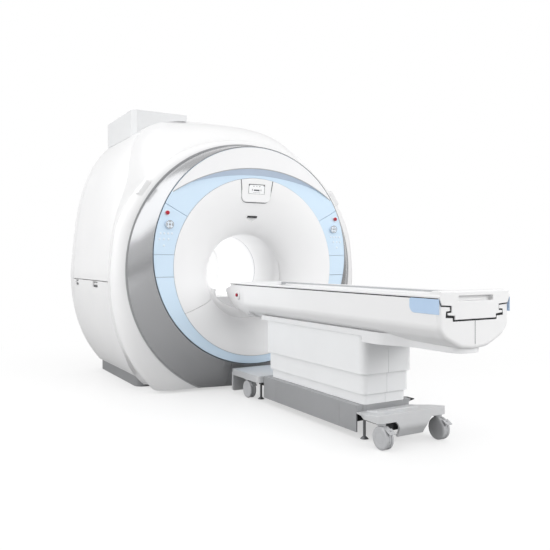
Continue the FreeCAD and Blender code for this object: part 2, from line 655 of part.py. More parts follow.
# ---------------------------------------------------------------- tabletop: tray, end lip and keel

tray_block = prism("tray_block", "y", dim("top_start_y"), dim("top_end_y"), [
    (-beam, 822.5), (-beam, dim("top_rail_z"), 5), (beam, dim("top_rail_z"), 5), (beam, 822.5),
    *[(-x, z) for x, z in KEEL[1:]], *reversed(KEEL[1:])])
end_lip = prism("end_lip", "x", -232, 232, [
    (dim("top_start_y"), 826), (dim("top_start_y"), 856, 10), (dim("top_start_y") + 58, 856, 30),
    (dim("top_start_y") + 92, 830)])
tray_hollow = prism("tray_hollow", "y", -1790, 268, [
    (-214, 850), (-206, 806, 14), (-120, 800, 200), (120, 800, 200), (206, 806, 14), (214, 850)])
grip = rounded("grip_round", box("grip", (-118, 118), (-1900, -1862), (805, 831)), 8,
               lambda sizes, c: sizes[0] < 0.01 and sizes[2] < 0.01)
keel_core = box("keel_core", (-128, 128), (-1850, 400), (724, 788))
node("tabletop", cut("tabletop", fuse("tray_solid", tray_block, end_lip), tray_hollow, grip, keel_core))

# ---------------------------------------------------------------- pan and bumper pads

pan = dim("pan_half")
pan_body = prism("pan_body", "z", dim("pan_low_z"), 612, [
    (-pan, -1300), (-pan, -95, 20), (pan, -95, 20), (pan, -1300)])
pan_tail = prism("pan_tail", "z", 548, 612, [
    (-pan, -1249), (-pan, -1390, 160), (-105, -1560, 200), (-88, -1862, 70), (88, -1862, 70),
    (105, -1560, 200), (pan, -1390, 160), (pan, -1249)])
hull_space = hull("hull_space", -1900, 200, 0.3)
node("table_pan", cut("table_pan", fuse("pan_solid", pan_body, pan_tail), hull_space))

pads = []
pad_skin = cut("pad_skin", hull("pad_hull", dim("beam_start_y") - 4, -1686, 3.5), hull_space)
for side, (x0, x1) in (("left", (-260, -206)), ("right", (206, 260))):
    zone = prism(f"pad_zone_{side}", "x", x0, x1, [
        (-1900, 818), (-1688, 818, 12), (-1688, 746, 34), (-1900, 746)])
    pads.append(common(f"pad_{side}", pad_skin, zone))
node("bumper_pads", group("bumper_pads", *pads))

# ---------------------------------------------------------------- pedestal shrouds and lift columns


def shroud(name, half, start, end, low, high, corner, *more_cuts):
    """An open rounded tube with a fine seam down its free end."""
    outer = prism(f"{name}_outer", "z", low, high, [
        (-half, start, corner), (-half, end, corner), (half, end, corner), (half, start, corner)])
    wall = dim("shroud_wall")
    inner = prism(f"{name}_inner", "z", low - 10, high + 10, [
        (-half + wall, start + wall, corner - wall), (-half + wall, end - wall, corner - wall),
        (half - wall, end - wall, corner - wall), (half - wall, start + wall, corner - wall)])
    seam = box(f"{name}_seam", (-1, 1), (start - 1, start + 2), (low - 1, high + 1))
    return node(name, cut(name, outer, inner, seam, *more_cuts))


ped_start, ped_end = dim("ped_start_y"), dim("ped_end_y")
shroud("shroud_top", dim("shroud_top_half"), ped_start, ped_end, 361, 580, 46, hull_space)
shroud("shroud_mid", dim("shroud_mid_half"), ped_start + 15, ped_end - 15, 246, 462, 38)
shroud("shroud_low", dim("shroud_low_half"), ped_start + 30, ped_end - 30, 186, 380, 30)

columns = []
for name, y in (("back", "column_back_y"), ("front", "column_front_y")):
    columns.append(fuse(
        f"column_{name}",
        cylinder(f"column_tube_{name}", "column_radius", "z", 258, 560, 0, y),
        box(f"column_head_{name}", (-90, 90), (f"{y} - 90", f"{y} + 90"), (548, 600))))
node("lift_columns", cut("lift_columns", group("column_pair", *columns), hull_space))

# ---------------------------------------------------------------- base: chassis, skirt, end plates

sleeves = []
for name, y in (("back", "column_back_y"), ("front", "column_front_y")):
    sleeves.append(cylinder(f"sleeve_{name}", 56, "z", 60, 402, 0, y))
sleeve_holes = [cylinder(f"sleeve_hole_{name}", "column_radius + guide_play", "z", 50, 450, 0, y)
                for name, y in (("back", "column_back_y"), ("front", "column_front_y"))]
rails = [box(f"rail_{side}", (x0, x1), (-1400, 100), (80, 138))
         for side, x0, x1 in (("left", -100, -60), ("right", 60, 100))]
cross = [box(f"cross_{n}", (-170, 170), (y, y + 60), (80, 138)) for n, y in enumerate((-1150, -700, -260))]
cross += [box(f"sleeve_base_{n}", (-80, 80), (f"{y} - 80", f"{y} + 80"), (80, 138))
          for n, y in enumerate(("column_back_y", "column_front_y"))]
chassis_solid = fuse("chassis_solid", *rails, *cross, *sleeves)
node("chassis", cut("chassis", chassis_solid, group("sleeve_bores", *sleeve_holes)))

SKIRT_START, SKIRT_END = -1200, -142
skirt, plate = dim("skirt_half"), dim("plate_half")
skirt_out = prism("skirt_out", "z", 35, dim("plate_top"), [
    (-skirt, SKIRT_START), (-skirt, SKIRT_END), (skirt, SKIRT_END), (skirt, SKIRT_START)])
skirt_in = box("skirt_in", (-186, 186), (SKIRT_START - 5, SKIRT_END + 5), (0, 176))
skirt_top = box("skirt_top_hole", (-140, 140), (SKIRT_START + 20, SKIRT_END - 50), (100, 300))
skirt_lines = [box(f"skirt_line_{n}", (-200, 200), (y - 1, y + 1), (30, 175))
               for n, y in enumerate((-1040, -300))]
skirt_relief = box("skirt_relief", (-193.5, 193.5), (-1195, -150), (30, 175))
skirt_grooves = cut("skirt_grooves", group("skirt_lines", *skirt_lines), skirt_relief)
lugs = [box(f"pedal_lug_{n}", (190, 211), (y, y + 5), (164, 181))
        for n, y in enumerate((-1196, -1129))]
node("base_skirt", cut("base_skirt", fuse("skirt_with_lugs", skirt_out, *lugs),
                       skirt_in, skirt_top, skirt_grooves))


def wheel_arches(name, y0, y1):
    return group(name, *[cylinder(f"{name}_{n}", 108, "y", y0, y1, x, 62)
                         for n, x in enumerate(("-caster_x", "caster_x"))])


free = dim("base_start_y")
plate_free = prism("plate_free", "z", dim("plate_low"), dim("plate_top"), [
    (-skirt, SKIRT_START - 2), (-205, -1255, 100), (-plate, -1330, 100), (-plate, free, 34),
    (plate, free, 34), (plate, -1330, 100), (205, -1255, 100), (skirt, SKIRT_START - 2)])
apron_free = prism("apron_free", "x", -225, 225, [
    (free, dim("plate_low")), (free, 104, 60), (free + 34, 48), (free + 46, 55), (free + 13, 108, 50),
    (free + 13, dim("plate_low"))])
step_free = box("step_free", (-150, 150), (-1330, "ped_start_y + 12"), ("plate_top", "plate_top + 6"))
apron_arched = cut("apron_arched", apron_free, wheel_arches("free_arches", -1500, -1400))
node("end_plate_free", fuse("end_plate_free_solid", plate_free, apron_arched, step_free))

dock = dim("base_end_y")
plate_dock = prism("plate_dock", "z", dim("plate_low"), dim("plate_top"), [
    (-skirt, SKIRT_END + 2), (-plate, SKIRT_END + 2, 30), (-plate, dock, 14), (plate, dock, 14),
    (plate, SKIRT_END + 2, 30), (skirt, SKIRT_END + 2)])
apron_dock = prism("apron_dock", "y", dock - 22, dock, [
    (-plate, 160), (-plate, 22, 12), (plate, 22, 12), (plate, 160)])
dock_mouth = prism("dock_mouth", "y", dock - 40, dock + 10, [
    (-150, 0), (-150, 110, 40), (150, 110, 40), (150, 0)])
node("end_plate_dock", cut("end_plate_dock_solid", fuse("dock_solid", plate_dock, apron_dock), dock_mouth))

feet = []
for n, (x, y) in enumerate((x, y) for x in (-165, 165) for y in (-1236, -48)):
    feet.append(fuse(f"level_{n}", cylinder(f"level_stem_{n}", 8, "z", 10, 140, x, y),
                     cylinder(f"level_nut_{n}", 14, "z", 120, 140, x, y),
                     cone(f"level_disc_{n}", 24, 10, "z", 5, 18, x, y)))
node("levelling_feet", group("levelling_feet", *feet))

# release pedal: a wedge on a barrel between two lugs, at the skirt's far side
PEDAL_Y, PEDAL_X, PEDAL_Z = -1160, 204, 172
pedal_plate = prism("pedal_plate", "y", PEDAL_Y - 30, PEDAL_Y + 30, [
    (PEDAL_X, 181, 3), (PEDAL_X + 43, 176, 2), (PEDAL_X + 43, 171, 2), (PEDAL_X, 163, 3)])
pedal_barrel = cylinder("pedal_barrel", 7, "y", PEDAL_Y - 30, PEDAL_Y + 30, PEDAL_X, PEDAL_Z)
node("release_pedal", fuse("release_pedal", pedal_plate, pedal_barrel))

# ---------------------------------------------------------------- casters


def caster(tag, x, y):
    """A twin-wheel swivel caster: hooded body on a stem, two wheels on one axle, brake lever."""
    axle_y = y - dim("caster_trail")
    axle_z = dim("wheel_radius")
    half = dim("wheel_gap") / 2
    width = dim("wheel_width")
    pin_y, pin_z = axle_y - 47, 114.5
    web = cylinder(f"web_{tag}", 60, "x", x - half + 0.8, x + half - 0.8, axle_y, axle_z)
    ear = prism(f"ear_{tag}", "x", x - half + 1, x + half - 1, [
        (axle_y - 20, 100), (pin_y + 6, pin_z + 10, 8), (pin_y - 10, pin_z + 2, 8), (axle_y - 46, 86)])
    neck = box(f"neck_{tag}", (x - half + 1, x + half - 1), (y - 22, y + 22), (100, 131))
    stem = cylinder(f"stem_{tag}", 25, "z", 127, 139.7, x, y)
    axle_hole = cylinder(f"axle_hole_{tag}", 6.05, "x", x - 40, x + 40, axle_y, axle_z)
    pin_hole = cylinder(f"pin_hole_{tag}", 4.05, "x", x - 40, x + 40, pin_y, pin_z)
    node(f"caster_body_{tag}", cut(f"caster_body_{tag}", fuse(f"caster_solid_{tag}", web, ear, neck, stem),
                                   axle_hole, pin_hole))

    discs = [cylinder(f"axle_{tag}", 6, "x", x - half - width + 1, x + half + width - 1, axle_y, axle_z)]
    for number, (start, end) in enumerate(((x - half - width, x - half), (x + half, x + half + width))):
        disc = cylinder(f"disc_{number}_{tag}", "wheel_radius", "x", start, end, axle_y, axle_z)
        discs.append(rounded(f"tyre_{number}_{tag}", disc, 5, lambda sizes, c: sizes[1] > 100))
    node(f"wheels_{tag}", fuse(f"wheels_{tag}", *discs))

    lever = prism(f"lever_{tag}", "x", x - 20, x + 20, [
        (pin_y + 5, pin_z + 1, 2), (pin_y + 3, pin_z + 6, 2), (pin_y - 33, pin_z - 15, 1.5),
        (pin_y - 32, pin_z - 20, 1.5)])
    lever_slot = box(f"lever_slot_{tag}", (x - half + 0.6, x + half - 0.6),
                     (pin_y - 16, pin_y + 20), (80, 150))
    pin = cylinder(f"lever_pin_{tag}", 4, "x", x - 18, x + 18, pin_y, pin_z)
    node(f"brake_lever_{tag}", fuse(f"brake_lever_{tag}", cut(f"lever_fork_{tag}", lever, lever_slot), pin))


for end, y in (("free", dim("caster_free_y")), ("dock", dim("caster_dock_y"))):
    for side, x in (("left", -dim("caster_x")), ("right", dim("caster_x"))):
        caster(f"{end}_{side}", x, y)

# ---------------------------------------------------------------- check and write

doc.recompute()
faults = []
for item in doc.Objects:
    if "Invalid" in item.State or "Error" in item.State:
        faults.append(f"{item.Name}: {item.State}")
for name, solid in NODES.items():
    shape = solid.Shape
    if shape.isNull() or not shape.isValid() or not shape.Solids:
        faults.append(f"{name}: no valid solid")
if faults:
    raise RuntimeError("; ".join(faults))
os.makedirs("parts", exist_ok=True)
for name, solid in NODES.items():
    solid.Shape.exportStep(f"parts/{name}.step")
print(len(NODES), "parts written")
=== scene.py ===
import json
import math

import bmesh
import bpy
from mathutils import Matrix, Vector


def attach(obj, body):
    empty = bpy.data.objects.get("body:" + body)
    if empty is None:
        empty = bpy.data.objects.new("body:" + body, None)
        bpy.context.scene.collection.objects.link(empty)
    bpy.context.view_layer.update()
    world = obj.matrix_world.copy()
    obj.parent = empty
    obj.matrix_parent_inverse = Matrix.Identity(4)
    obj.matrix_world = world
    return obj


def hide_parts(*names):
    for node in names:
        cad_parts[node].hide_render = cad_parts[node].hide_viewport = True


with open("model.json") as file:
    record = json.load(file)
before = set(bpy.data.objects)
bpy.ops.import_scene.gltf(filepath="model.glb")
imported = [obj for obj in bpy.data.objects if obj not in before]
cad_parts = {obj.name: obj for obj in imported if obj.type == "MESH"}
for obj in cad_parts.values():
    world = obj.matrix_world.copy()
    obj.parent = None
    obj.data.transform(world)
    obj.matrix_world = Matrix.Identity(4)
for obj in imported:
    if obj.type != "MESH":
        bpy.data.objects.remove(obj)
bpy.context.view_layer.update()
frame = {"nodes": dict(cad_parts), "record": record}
nodes = frame["nodes"]

# ------------------------------------------------------------------ covers of the gantry
# The gantry wears glass-fibre covers, moulded in pieces, sanded, sprayed in satin white and hung
# on the magnet with hairline joints. The drum is egg-shaped from the front, and grows out of the
# round front rim in a domed shoulder.


def linear(code):
    """An sRGB hex code as the linear colour that a shader takes."""
    parts = [int(code[i:i + 2], 16) / 255 for i in (1, 3, 5)]
    return [p / 12.92 if p < 0.04045 else ((p + 0.055) / 1.055) ** 2.4 for p in parts] + [1]


def add(tree, kind, links=(), **settings):
    """One shader node: its settings by name, its sockets as in_NAME, and links of socket to source."""
    made = tree.nodes.new(kind)
    for name, value in settings.items():
        if name.startswith("in_"):
            made.inputs[name[3:].replace("_", " ")].default_value = value
        else:
            setattr(made, name, value)
    for socket, source in dict(links).items():
        tree.links.new(source, made.inputs[socket])
    return made


def finish_of(name, light, dark, grain_mm, mottle_mm, bump, rough, **shader):
    """A sprayed or moulded finish: slow colour drift, fine skin grain, and gloss that varies a little.

    The drift is as wide as real paint and mouldings drift. Real skin grain is some tenths of a
    millimetre, too fine to show, so it is drawn about 1 to 3 mm wide and very low.
    """
    material = bpy.data.materials.new(name)
    material.use_nodes = True
    tree = material.node_tree
    tree.nodes.clear()
    place = add(tree, "ShaderNodeTexCoord").outputs["Object"]
    drift = add(tree, "ShaderNodeTexNoise", {"Vector": place}, in_Scale=1000 / mottle_mm, in_Detail=3.0)
    grain = add(tree, "ShaderNodeTexNoise", {"Vector": place}, in_Scale=1000 / grain_mm, in_Detail=2.0)
    colour = add(tree, "ShaderNodeMix", {"Factor": drift.outputs["Fac"]}, data_type="RGBA")
    colour.inputs[6].default_value, colour.inputs[7].default_value = linear(dark), linear(light)
    gloss = add(tree, "ShaderNodeMapRange", {"Value": drift.outputs["Fac"]},
                in_To_Min=rough[0], in_To_Max=rough[1])
    skin = add(tree, "ShaderNodeBump", {"Height": grain.outputs["Fac"]}, in_Strength=bump, in_Distance=0.0004)
    sockets = {"Base Color": colour.outputs[2], "Roughness": gloss.outputs[0], "Normal": skin.outputs[0]}
    body = add(tree, "ShaderNodeBsdfPrincipled", sockets, **shader)
    add(tree, "ShaderNodeOutputMaterial", {"Surface": body.outputs[0]})
    return material


# sprayed gelcoat, flatted to satin: a broad soft highlight under a thin clear coat, on a white that
# drifts a little from panel to panel
gelcoat = finish_of("sprayed_gelcoat_white", "#ebebeb", "#e4e4e5", 3, 400, 0.05, (0.36, 0.46),
                    in_Coat_Weight=0.15, in_Coat_Roughness=0.25)


def formed(columns, rows, place):
    """A grid whose corners from (0, 0) to (1, 1) are carried to place(u, v)."""
    bm = bmesh.new()
    bmesh.ops.create_grid(bm, x_segments=columns, y_segments=rows, size=0.5)
    for vert in bm.verts:
        vert.co = place(vert.co.x + 0.5, vert.co.y + 0.5)
    bmesh.ops.remove_doubles(bm, verts=bm.verts, dist=2e-5)
    return bm


def split(bm, at, facing, cut_away=False):
    """Cut along the plane through at."""
    bmesh.ops.bisect_plane(bm, geom=bm.verts[:] + bm.edges[:] + bm.faces[:], dist=1e-5,
                           plane_co=at, plane_no=facing, clear_outer=cut_away)
    return bm


def keep(bm, at, facing):
    """Cut away what lies on the facing side of the plane through at."""
    return split(bm, at, facing, cut_away=True)


def face_out(bm, outward):
    """Turn an open sheet so that it faces the way that outward(point) says."""
    bm.normal_update()
    if sum(f.normal.dot(outward(f.calc_center_median())) * f.calc_area() for f in bm.faces) < 0:
        bmesh.ops.reverse_faces(bm, faces=bm.faces)
    return bm


def piece(name, bm, material, wall=0.0, edge=0.0, outward=None):
    """The bmesh as an object, with a wall behind its face and its edges eased."""
    if outward is not None:
        face_out(bm, outward)
    mesh = bpy.data.meshes.new(name)
    bm.to_mesh(mesh)
    bm.free()
    mesh.shade_smooth()
    mesh.materials.append(material)
    made = bpy.data.objects.new(name, mesh)
    bpy.context.scene.collection.objects.link(made)
    if wall:
        shell = made.modifiers.new("wall", "SOLIDIFY")
        shell.thickness, shell.offset = wall, -1
    if edge:
        eased = made.modifiers.new("edge", "BEVEL")
        eased.width, eased.segments = edge, 2
        eased.limit_method, eased.angle_limit = "ANGLE", math.radians(40)
    made.modifiers.new("shading", "WEIGHTED_NORMAL").keep_sharp = True
    return made


def fit(made, body, slot, *stands_for):
    """Mount a piece: the body it rides on, and the CAD nodes it stands for. The slot argument is not used."""
    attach(made, body)
    if stands_for:
        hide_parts(*stands_for)
    return made


SIDES = (("left", -1), ("right", 1))
MIDDLE = 0.9                          # height of the drum's middle
HALF_WIDTH, RISE, DROP = 1.075, 1.325, 1.150    # of the full drum, from its middle
ROOF_POWER, BELLY_POWER = 3.2, 2.2    # how square the egg is above and below its middle
ROOF_TAPER = 0.09                     # how much narrower the drum is at the top
SHOULDER_Y, DOME_DEPTH = 0.56, 0.67   # where the shoulder starts, and how far back it is full size
RIM_OUTSIDE = 1.124, 0.847            # radius and middle height of the rim's outer circle
PROUD_OF_DRUM = 1.014                 # the rim stands 1.4 % outside the drum where they are near
SEAM_Y, SEAM_GAP = 0.63, 0.0012       # the upright part of the seam, and half its width
ABOVE_FLOOR = (0, 0, 0.02), (0, 0, -1)


def round_reach(dx, dz, radius, centre_z, full=None):
    """Distance from the drum's middle to a circle round the bore, kept just outside the full drum."""
    drop = centre_z - MIDDLE
    reach = drop * dz + math.sqrt(radius ** 2 - (drop * dx) ** 2)
    if full is None:
        return reach
    return (reach ** -80 + (full * PROUD_OF_DRUM) ** -80) ** (-1 / 80)


def drum(angle, y, inset=0.0):
    """A point of the gantry's skin, by direction from the drum's middle and depth."""
    c, s = math.cos(angle), math.sin(angle)
    power, height = (ROOF_POWER, RISE) if s >= 0 else (BELLY_POWER, DROP)
    full = ((abs(c) / HALF_WIDTH) ** power + (abs(s) / height) ** power) ** (-1 / power)
    x, z = full * c * (1 - ROOF_TAPER * max(0, full * s / height)), full * s
    full = math.hypot(x, z)
    dx, dz = x / full, z / full
    turn = min(1, max(0, (y - SHOULDER_Y) / DOME_DEPTH))
    share = math.sqrt(1 - (1 - turn) ** 2)
    rim = round_reach(dx, dz, *RIM_OUTSIDE, full)
    reach = rim * (1 - share) + full * share - 0.02 * (1 - share) * max(0, dz) - inset
    return Vector((dx * reach, y, MIDDLE + dz * reach))


def round_angle(u):
    """Round the gantry from the floor, up the left side, over the top and down the right."""
    return -math.pi / 2 - 2 * math.pi * u


def seam_y(z):
    """Where the shoulder meets the side panels: upright, swept back to the floor and over the top.

    The two sweeps start at 1.6 m and at 0.3 m, each with a rounded bend, and end at a set depth.
    """
    up, down = z - 1.6, 0.3 - z
    back = 0.857 * (math.hypot(up, 0.12) + up) / 2 + 0.917 * (math.hypot(down, 0.05) + down) / 2
    return min(SEAM_Y + back, 0.818 if z < MIDDLE else 1.23)


def seam_point(angle, shift):
    """The seam's depth in one direction: it depends on the height, and the height on it."""
    y = SEAM_Y
    for _ in range(8):
        y = seam_y(drum(angle, y).z) + shift
    return y


def outwards(point):
    """Away from the drum's middle, level with the point."""
    return Vector((point.x, 0, point.z - MIDDLE))


def shoulder_point(u, v):
    """The shoulder steps down in front of the side covers and is hollow behind the proud rim."""
    step, step_length = 0.030, 0.022
    angle = round_angle(u)
    seam = seam_point(angle, -SEAM_GAP)
    y = SHOULDER_Y + (seam - SHOULDER_Y) * v * v
    fall = step * (1 - math.exp((y - seam) / step_length))
    front, skin, edge = (outwards(drum(angle, at)).length for at in (SHOULDER_Y, y, seam))
    on_flank = math.exp(-((math.sin(angle) - 0.62) / 0.2) ** 2)
    hollow = on_flank * (skin - front - (edge - front) * v ** 5)
    return drum(angle, y, fall + hollow)


def side_skin(u, v):
    """From the seam back to the rear cover."""
    start = seam_point(round_angle(u), SEAM_GAP)
    return drum(round_angle(u), start + (1.758 - start) * v)


def finger_recess(bm, middle, half, low, high):
    """Press a pocket for the fingers into a cover, below its upper edge."""
    for y in (middle - half, middle + half):
        split(bm, (0, y, 0), (0, 1, 0))
    for z in (low, high):
        split(bm, (0, 0, z), (0, 0, 1))
    face_out(bm, outwards)
    spots = [(f, f.calc_center_median()) for f in bm.faces]
    pocket = [f for f, c in spots if abs(c.y - middle) < half and low < c.z < high]
    bmesh.ops.inset_region(bm, faces=pocket, thickness=0.003, depth=-0.016)
    bmesh.ops.inset_region(bm, faces=pocket, thickness=0.004, depth=-0.002)


def side_panel(name, sign, low, high, node, recesses=()):
    """One side's skin between two heights, or both sides' where sign is 0."""
    bm = formed(264, 36, side_skin)
    keep(bm, (0, 0, low), (0, 0, -1))
    keep(bm, (0, 0, high), (0, 0, 1))
    if sign:
        keep(bm, (0, 0, 0), (-sign, 0, 0))
    for middle, half in recesses:
        finger_recess(bm, middle, half, 0.786, 0.832)
    return fit(piece(name, bm, gelcoat, 0.010, 0.0015, outwards), "gantry", "shell_white", node)


shoulder = keep(formed(264, 40, shoulder_point), *ABOVE_FLOOR)
fit(piece("shoulder_cover", shoulder, gelcoat, 0.010, 0.0015, outwards),
    "gantry", "shell_white", "front_shoulder")
RECESSES = ((1.021, 0.076), (1.618, 0.050))    # middle and half length of each finger pocket
COVER_FOOT = 0.093                             # the covers end just above the plinth
for level, low, high, recesses in (("lower", COVER_FOOT, 0.8375, RECESSES), ("upper", 0.8425, 2.059, ())):
    for side, sign in SIDES:
        side_panel(f"side_cover_{level}_{side}", sign, low, high, f"side_{level}_{side}", recesses)
side_panel("roof_cover", 0, 2.062, 2.4, "top_cover")

# ------------------------------------------------------------------ front rim
# A rounded ring of the same sprayed glass fibre, moulded proud of the shoulder and bolted on from
# behind. It hides the joint between the band and the drum, and has a cap over a fixing each side.

RIM_INSIDE = 0.992, 0.924                       # radius and middle height of its inner circle
RIM_FRONT, RIM_ARCH, RIM_BACK = 0.470, 0.087, 0.557     # front edge, fall of its face, back


def forwards(point):
    """Towards the table, wherever the point is."""
    return Vector((0, -1, 0))


def rim_point(u, v):
    """From the band's edge over the rim's arched face to its outside, then in behind it."""
    angle = round_angle(u)
    full = drum(angle, 1.3)
    reach = math.hypot(full.x, full.z - MIDDLE)
    dx, dz = full.x / reach, (full.z - MIDDLE) / reach
    inner = round_reach(dx, dz, *RIM_INSIDE)
    outer = round_reach(dx, dz, *RIM_OUTSIDE, reach)
    if v < 0.8:
        across = math.sin(v / 0.8 * math.pi / 2)
        y = RIM_FRONT + RIM_ARCH * (1 - math.sqrt(1 - across * across))
    else:
        across, y = 1 - (v - 0.8) / 0.2, RIM_BACK
    span = inner * (1 - across) + max(outer, inner + 0.004) * across
    return Vector((dx * span, y, MIDDLE + dz * span))


def clip(sign):
    """A moulded cap over one of the rim's fixing points, set along the rim."""
    bm = bmesh.new()
    bmesh.ops.create_cube(bm, size=1, matrix=Matrix.Diagonal((0.058, 0.026, 0.145, 1)))
    for vert in bm.verts:
        if vert.co.y < 0:
            vert.co.x, vert.co.z = vert.co.x * 0.7, vert.co.z * 0.86
    bmesh.ops.bevel(bm, geom=bm.edges[:], offset=0.006, segments=3, affect="EDGES", profile=0.5, material=-1)
    turn = Matrix.Rotation(sign * math.radians(-34), 4, "Y")
    bmesh.ops.transform(bm, matrix=Matrix.Translation((sign * 0.853, 0.492, 1.535)) @ turn, verts=bm.verts)
    return bm


rim = keep(formed(264, 20, rim_point), *ABOVE_FLOOR)
fit(piece("front_rim_ring", rim, gelcoat, outward=forwards), "gantry", "shell_white", "front_rim")
for side, sign in SIDES:
    fit(piece(f"rim_clip_{side}", clip(sign), gelcoat), "gantry", "shell_white")

# ------------------------------------------------------------------ rear cover
# The back closes with a dished glass-fibre cover, screwed on after the magnet is in place. Its
# edge is rounded, and its middle turns in to a flared opening round the bore.

BORE_Z = 0.915                                  # height of the bore's middle
REAR_SEAM, REAR_BEND, REAR_FACE = 1.761, 1.85, 1.88
REAR_ROUND = 0.03                               # radius of the rounded edge
FLARE, FLARE_END, FLARE_DEPTH = 0.442, 0.305, 0.22


def rear_point(u, v):
    """Back along the drum, round the edge, across the face and into the opening: a quarter of v each."""
    angle = round_angle(u)
    if v <= 0.25:
        return drum(angle, REAR_SEAM + (REAR_BEND - REAR_SEAM) * v / 0.25)
    if v <= 0.5:
        turn = (v - 0.25) / 0.25 * math.pi / 2
        return drum(angle, REAR_BEND + REAR_ROUND * math.sin(turn), REAR_ROUND * (1 - math.cos(turn)))
    if v <= 0.75:
        hole = Vector((math.cos(angle) * FLARE, REAR_FACE, BORE_Z + math.sin(angle) * FLARE))
        return drum(angle, REAR_FACE, REAR_ROUND).lerp(hole, (v - 0.5) / 0.25)
    deep = (v - 0.75) / 0.25
    radius = FLARE_END + (FLARE - FLARE_END) * (1 - deep)
    y = REAR_FACE - FLARE_DEPTH * deep
    return Vector((math.cos(angle) * radius, y, BORE_Z + math.sin(angle) * radius))


rear = keep(formed(200, 32, rear_point), (0, 0, COVER_FOOT), (0, 0, -1))
fit(piece("rear_cover_dish", rear, gelcoat, 0.006, 0.002, lambda point: -forwards(point)),
    "gantry", "shell_white", "rear_cover")

# ------------------------------------------------------------------ turret, plinth and magnet
# A folded sheet-metal box covers the cold head on the roof. The magnet is a welded stainless
# vessel with its potted gradient coil inside, and it is bolted by its feet to a painted steel
# plinth on the floor.

# powder coat on folded sheet: an even dull grey with a little orange peel and no sharp reflection
sheet_paint = finish_of("powder_coated_sheet_grey", "#e0e1e2", "#d9dadb", 2, 300, 0.1, (0.45, 0.6))
# machine enamel brushed on steel plate, duller, and darker as painted shade, so that it reads as a shadow gap
plinth_paint = finish_of("plinth_grey_with_painted_shade", "#8e8f91", "#858688", 2, 200, 0.15, (0.5, 0.65))
# pickled stainless plate: a cold metal sheen that turns cloudy over some centimetres
welded_steel = finish_of("welded_stainless_steel", "#a9abad", "#94969a", 1, 60, 0.2, (0.3, 0.45),
                         in_Metallic=1.0)
record = frame["record"]
body_of = {node: body for body, held in record["behaviour"]["bodies"].items() for node in held}
slot_of = {part["node"]: part["material_slot"] for part in record["subparts"]}


def dressed(node, material, edge=0.0015, bend=None):
    """A copy of a CAD solid with its triangles merged, its curves shaded smooth and its edges eased."""
    bm = bmesh.new()
    bm.from_mesh(nodes[node].data)
    bmesh.ops.remove_doubles(bm, verts=bm.verts, dist=1e-5)
    bmesh.ops.dissolve_limit(bm, angle_limit=math.radians(1), verts=bm.verts, edges=bm.edges)
    for vert in bm.verts if bend else ():
        bend(vert.co)
    for line in bm.edges:
        line.smooth = line.is_manifold and line.calc_face_angle(0) < math.radians(32)
    made = piece(node + "_dressed", bm, material, 0, edge)
    return fit(made, body_of[node], slot_of[node], node)


dressed("turret_cover", sheet_paint, 0.002)
# the plinth's grey is partly painted shade under the covers
dressed("plinth", plinth_paint, 0.002)
for name, material in (("vacuum_vessel", welded_steel), ("magnet_feet", welded_steel),
                       ("gradient_coil", plinth_paint), ("cold_head", welded_steel)):
    nodes[name].data.materials.clear()
    nodes[name].data.materials.append(material)

# ------------------------------------------------------------------ silver band and dock panel
# A skewed cone between the front disk and the rim, moulded, sprayed in silver and clear-coated.
# Its foot is a separate panel behind the table's dock, clipped in so that it comes off first. A
# rubber seal fills the groove along the rim.

# metal-flake paint under clear coat: it mirrors the studio in soft streaks, light above and dark below
silver = finish_of("clear_coated_silver_paint", "#cbccce", "#c3c4c6", 1.5, 300, 0.02, (0.20, 0.25),
                   in_Metallic=0.85, in_Coat_Weight=0.15, in_Coat_Roughness=0.15)
# extruded rubber, matt: one thin even line round the band
groove_grey = finish_of("extruded_rubber_seal_grey", "#a2a3a5", "#97989a", 0.8, 30, 0.1, (0.5, 0.6))
RING_Z = 1.039                                  # height of the middle of the ring's outer circle
FOOT_HALF, FOOT_GAP = 0.215, 0.217              # half widths of the foot panel and of the gap for it


def band_point(u, v):
    """From the disk's edge to the rim: the circle grows, sinks and moves back, and bulges a little."""
    angle = round_angle(u)
    y = 0.316 + 0.150 * v
    radius = 0.849 + 0.139 * v + 0.003 * math.sin(math.pi * v)
    return Vector((math.cos(angle) * radius, y, RING_Z - 0.115 * v + math.sin(angle) * radius))


def seal_point(u, v):
    """A flat ring in the groove between the band and the rim."""
    angle = round_angle(u)
    radius = 0.983 + 0.017 * v
    return Vector((math.cos(angle) * radius, 0.4685, RIM_INSIDE[1] + math.sin(angle) * radius))


band = keep(formed(240, 12, band_point), *ABOVE_FLOOR)
for x in (-FOOT_GAP, FOOT_GAP):
    split(band, (x, 0, 0), (1, 0, 0))
spots = [(f, f.calc_center_median()) for f in band.faces]
bmesh.ops.delete(band, geom=[f for f, c in spots if abs(c.x) < FOOT_GAP and c.z < 0.5], context="FACES")
fit(piece("silver_band_cone", band, silver, 0.008, 0.001, outwards), "gantry", "band_silver", "silver_band")
seal = keep(formed(240, 1, seal_point), *ABOVE_FLOOR)
fit(piece("rim_seal", seal, groove_grey, 0.002, 0, forwards), "gantry", "band_silver")
dock = keep(formed(240, 12, band_point), *ABOVE_FLOOR)
for at, facing in (((-FOOT_HALF, 0, 0), (-1, 0, 0)), ((FOOT_HALF, 0, 0), (1, 0, 0)), ((0, 0, 0.5), (0, 0, 1))):
    keep(dock, at, facing)
fit(piece("dock_panel_foot", dock, silver, 0.008, 0.001, outwards), "gantry", "band_silver", "dock_panel")

# ------------------------------------------------------------------ blue ring and control panels
# The front disk is a ring of injection-moulded plastic in pale blue: a crown, a foot, and a
# control panel each side in an upper and a lower part. They snap on to the funnel's flange with
# hairline joints.

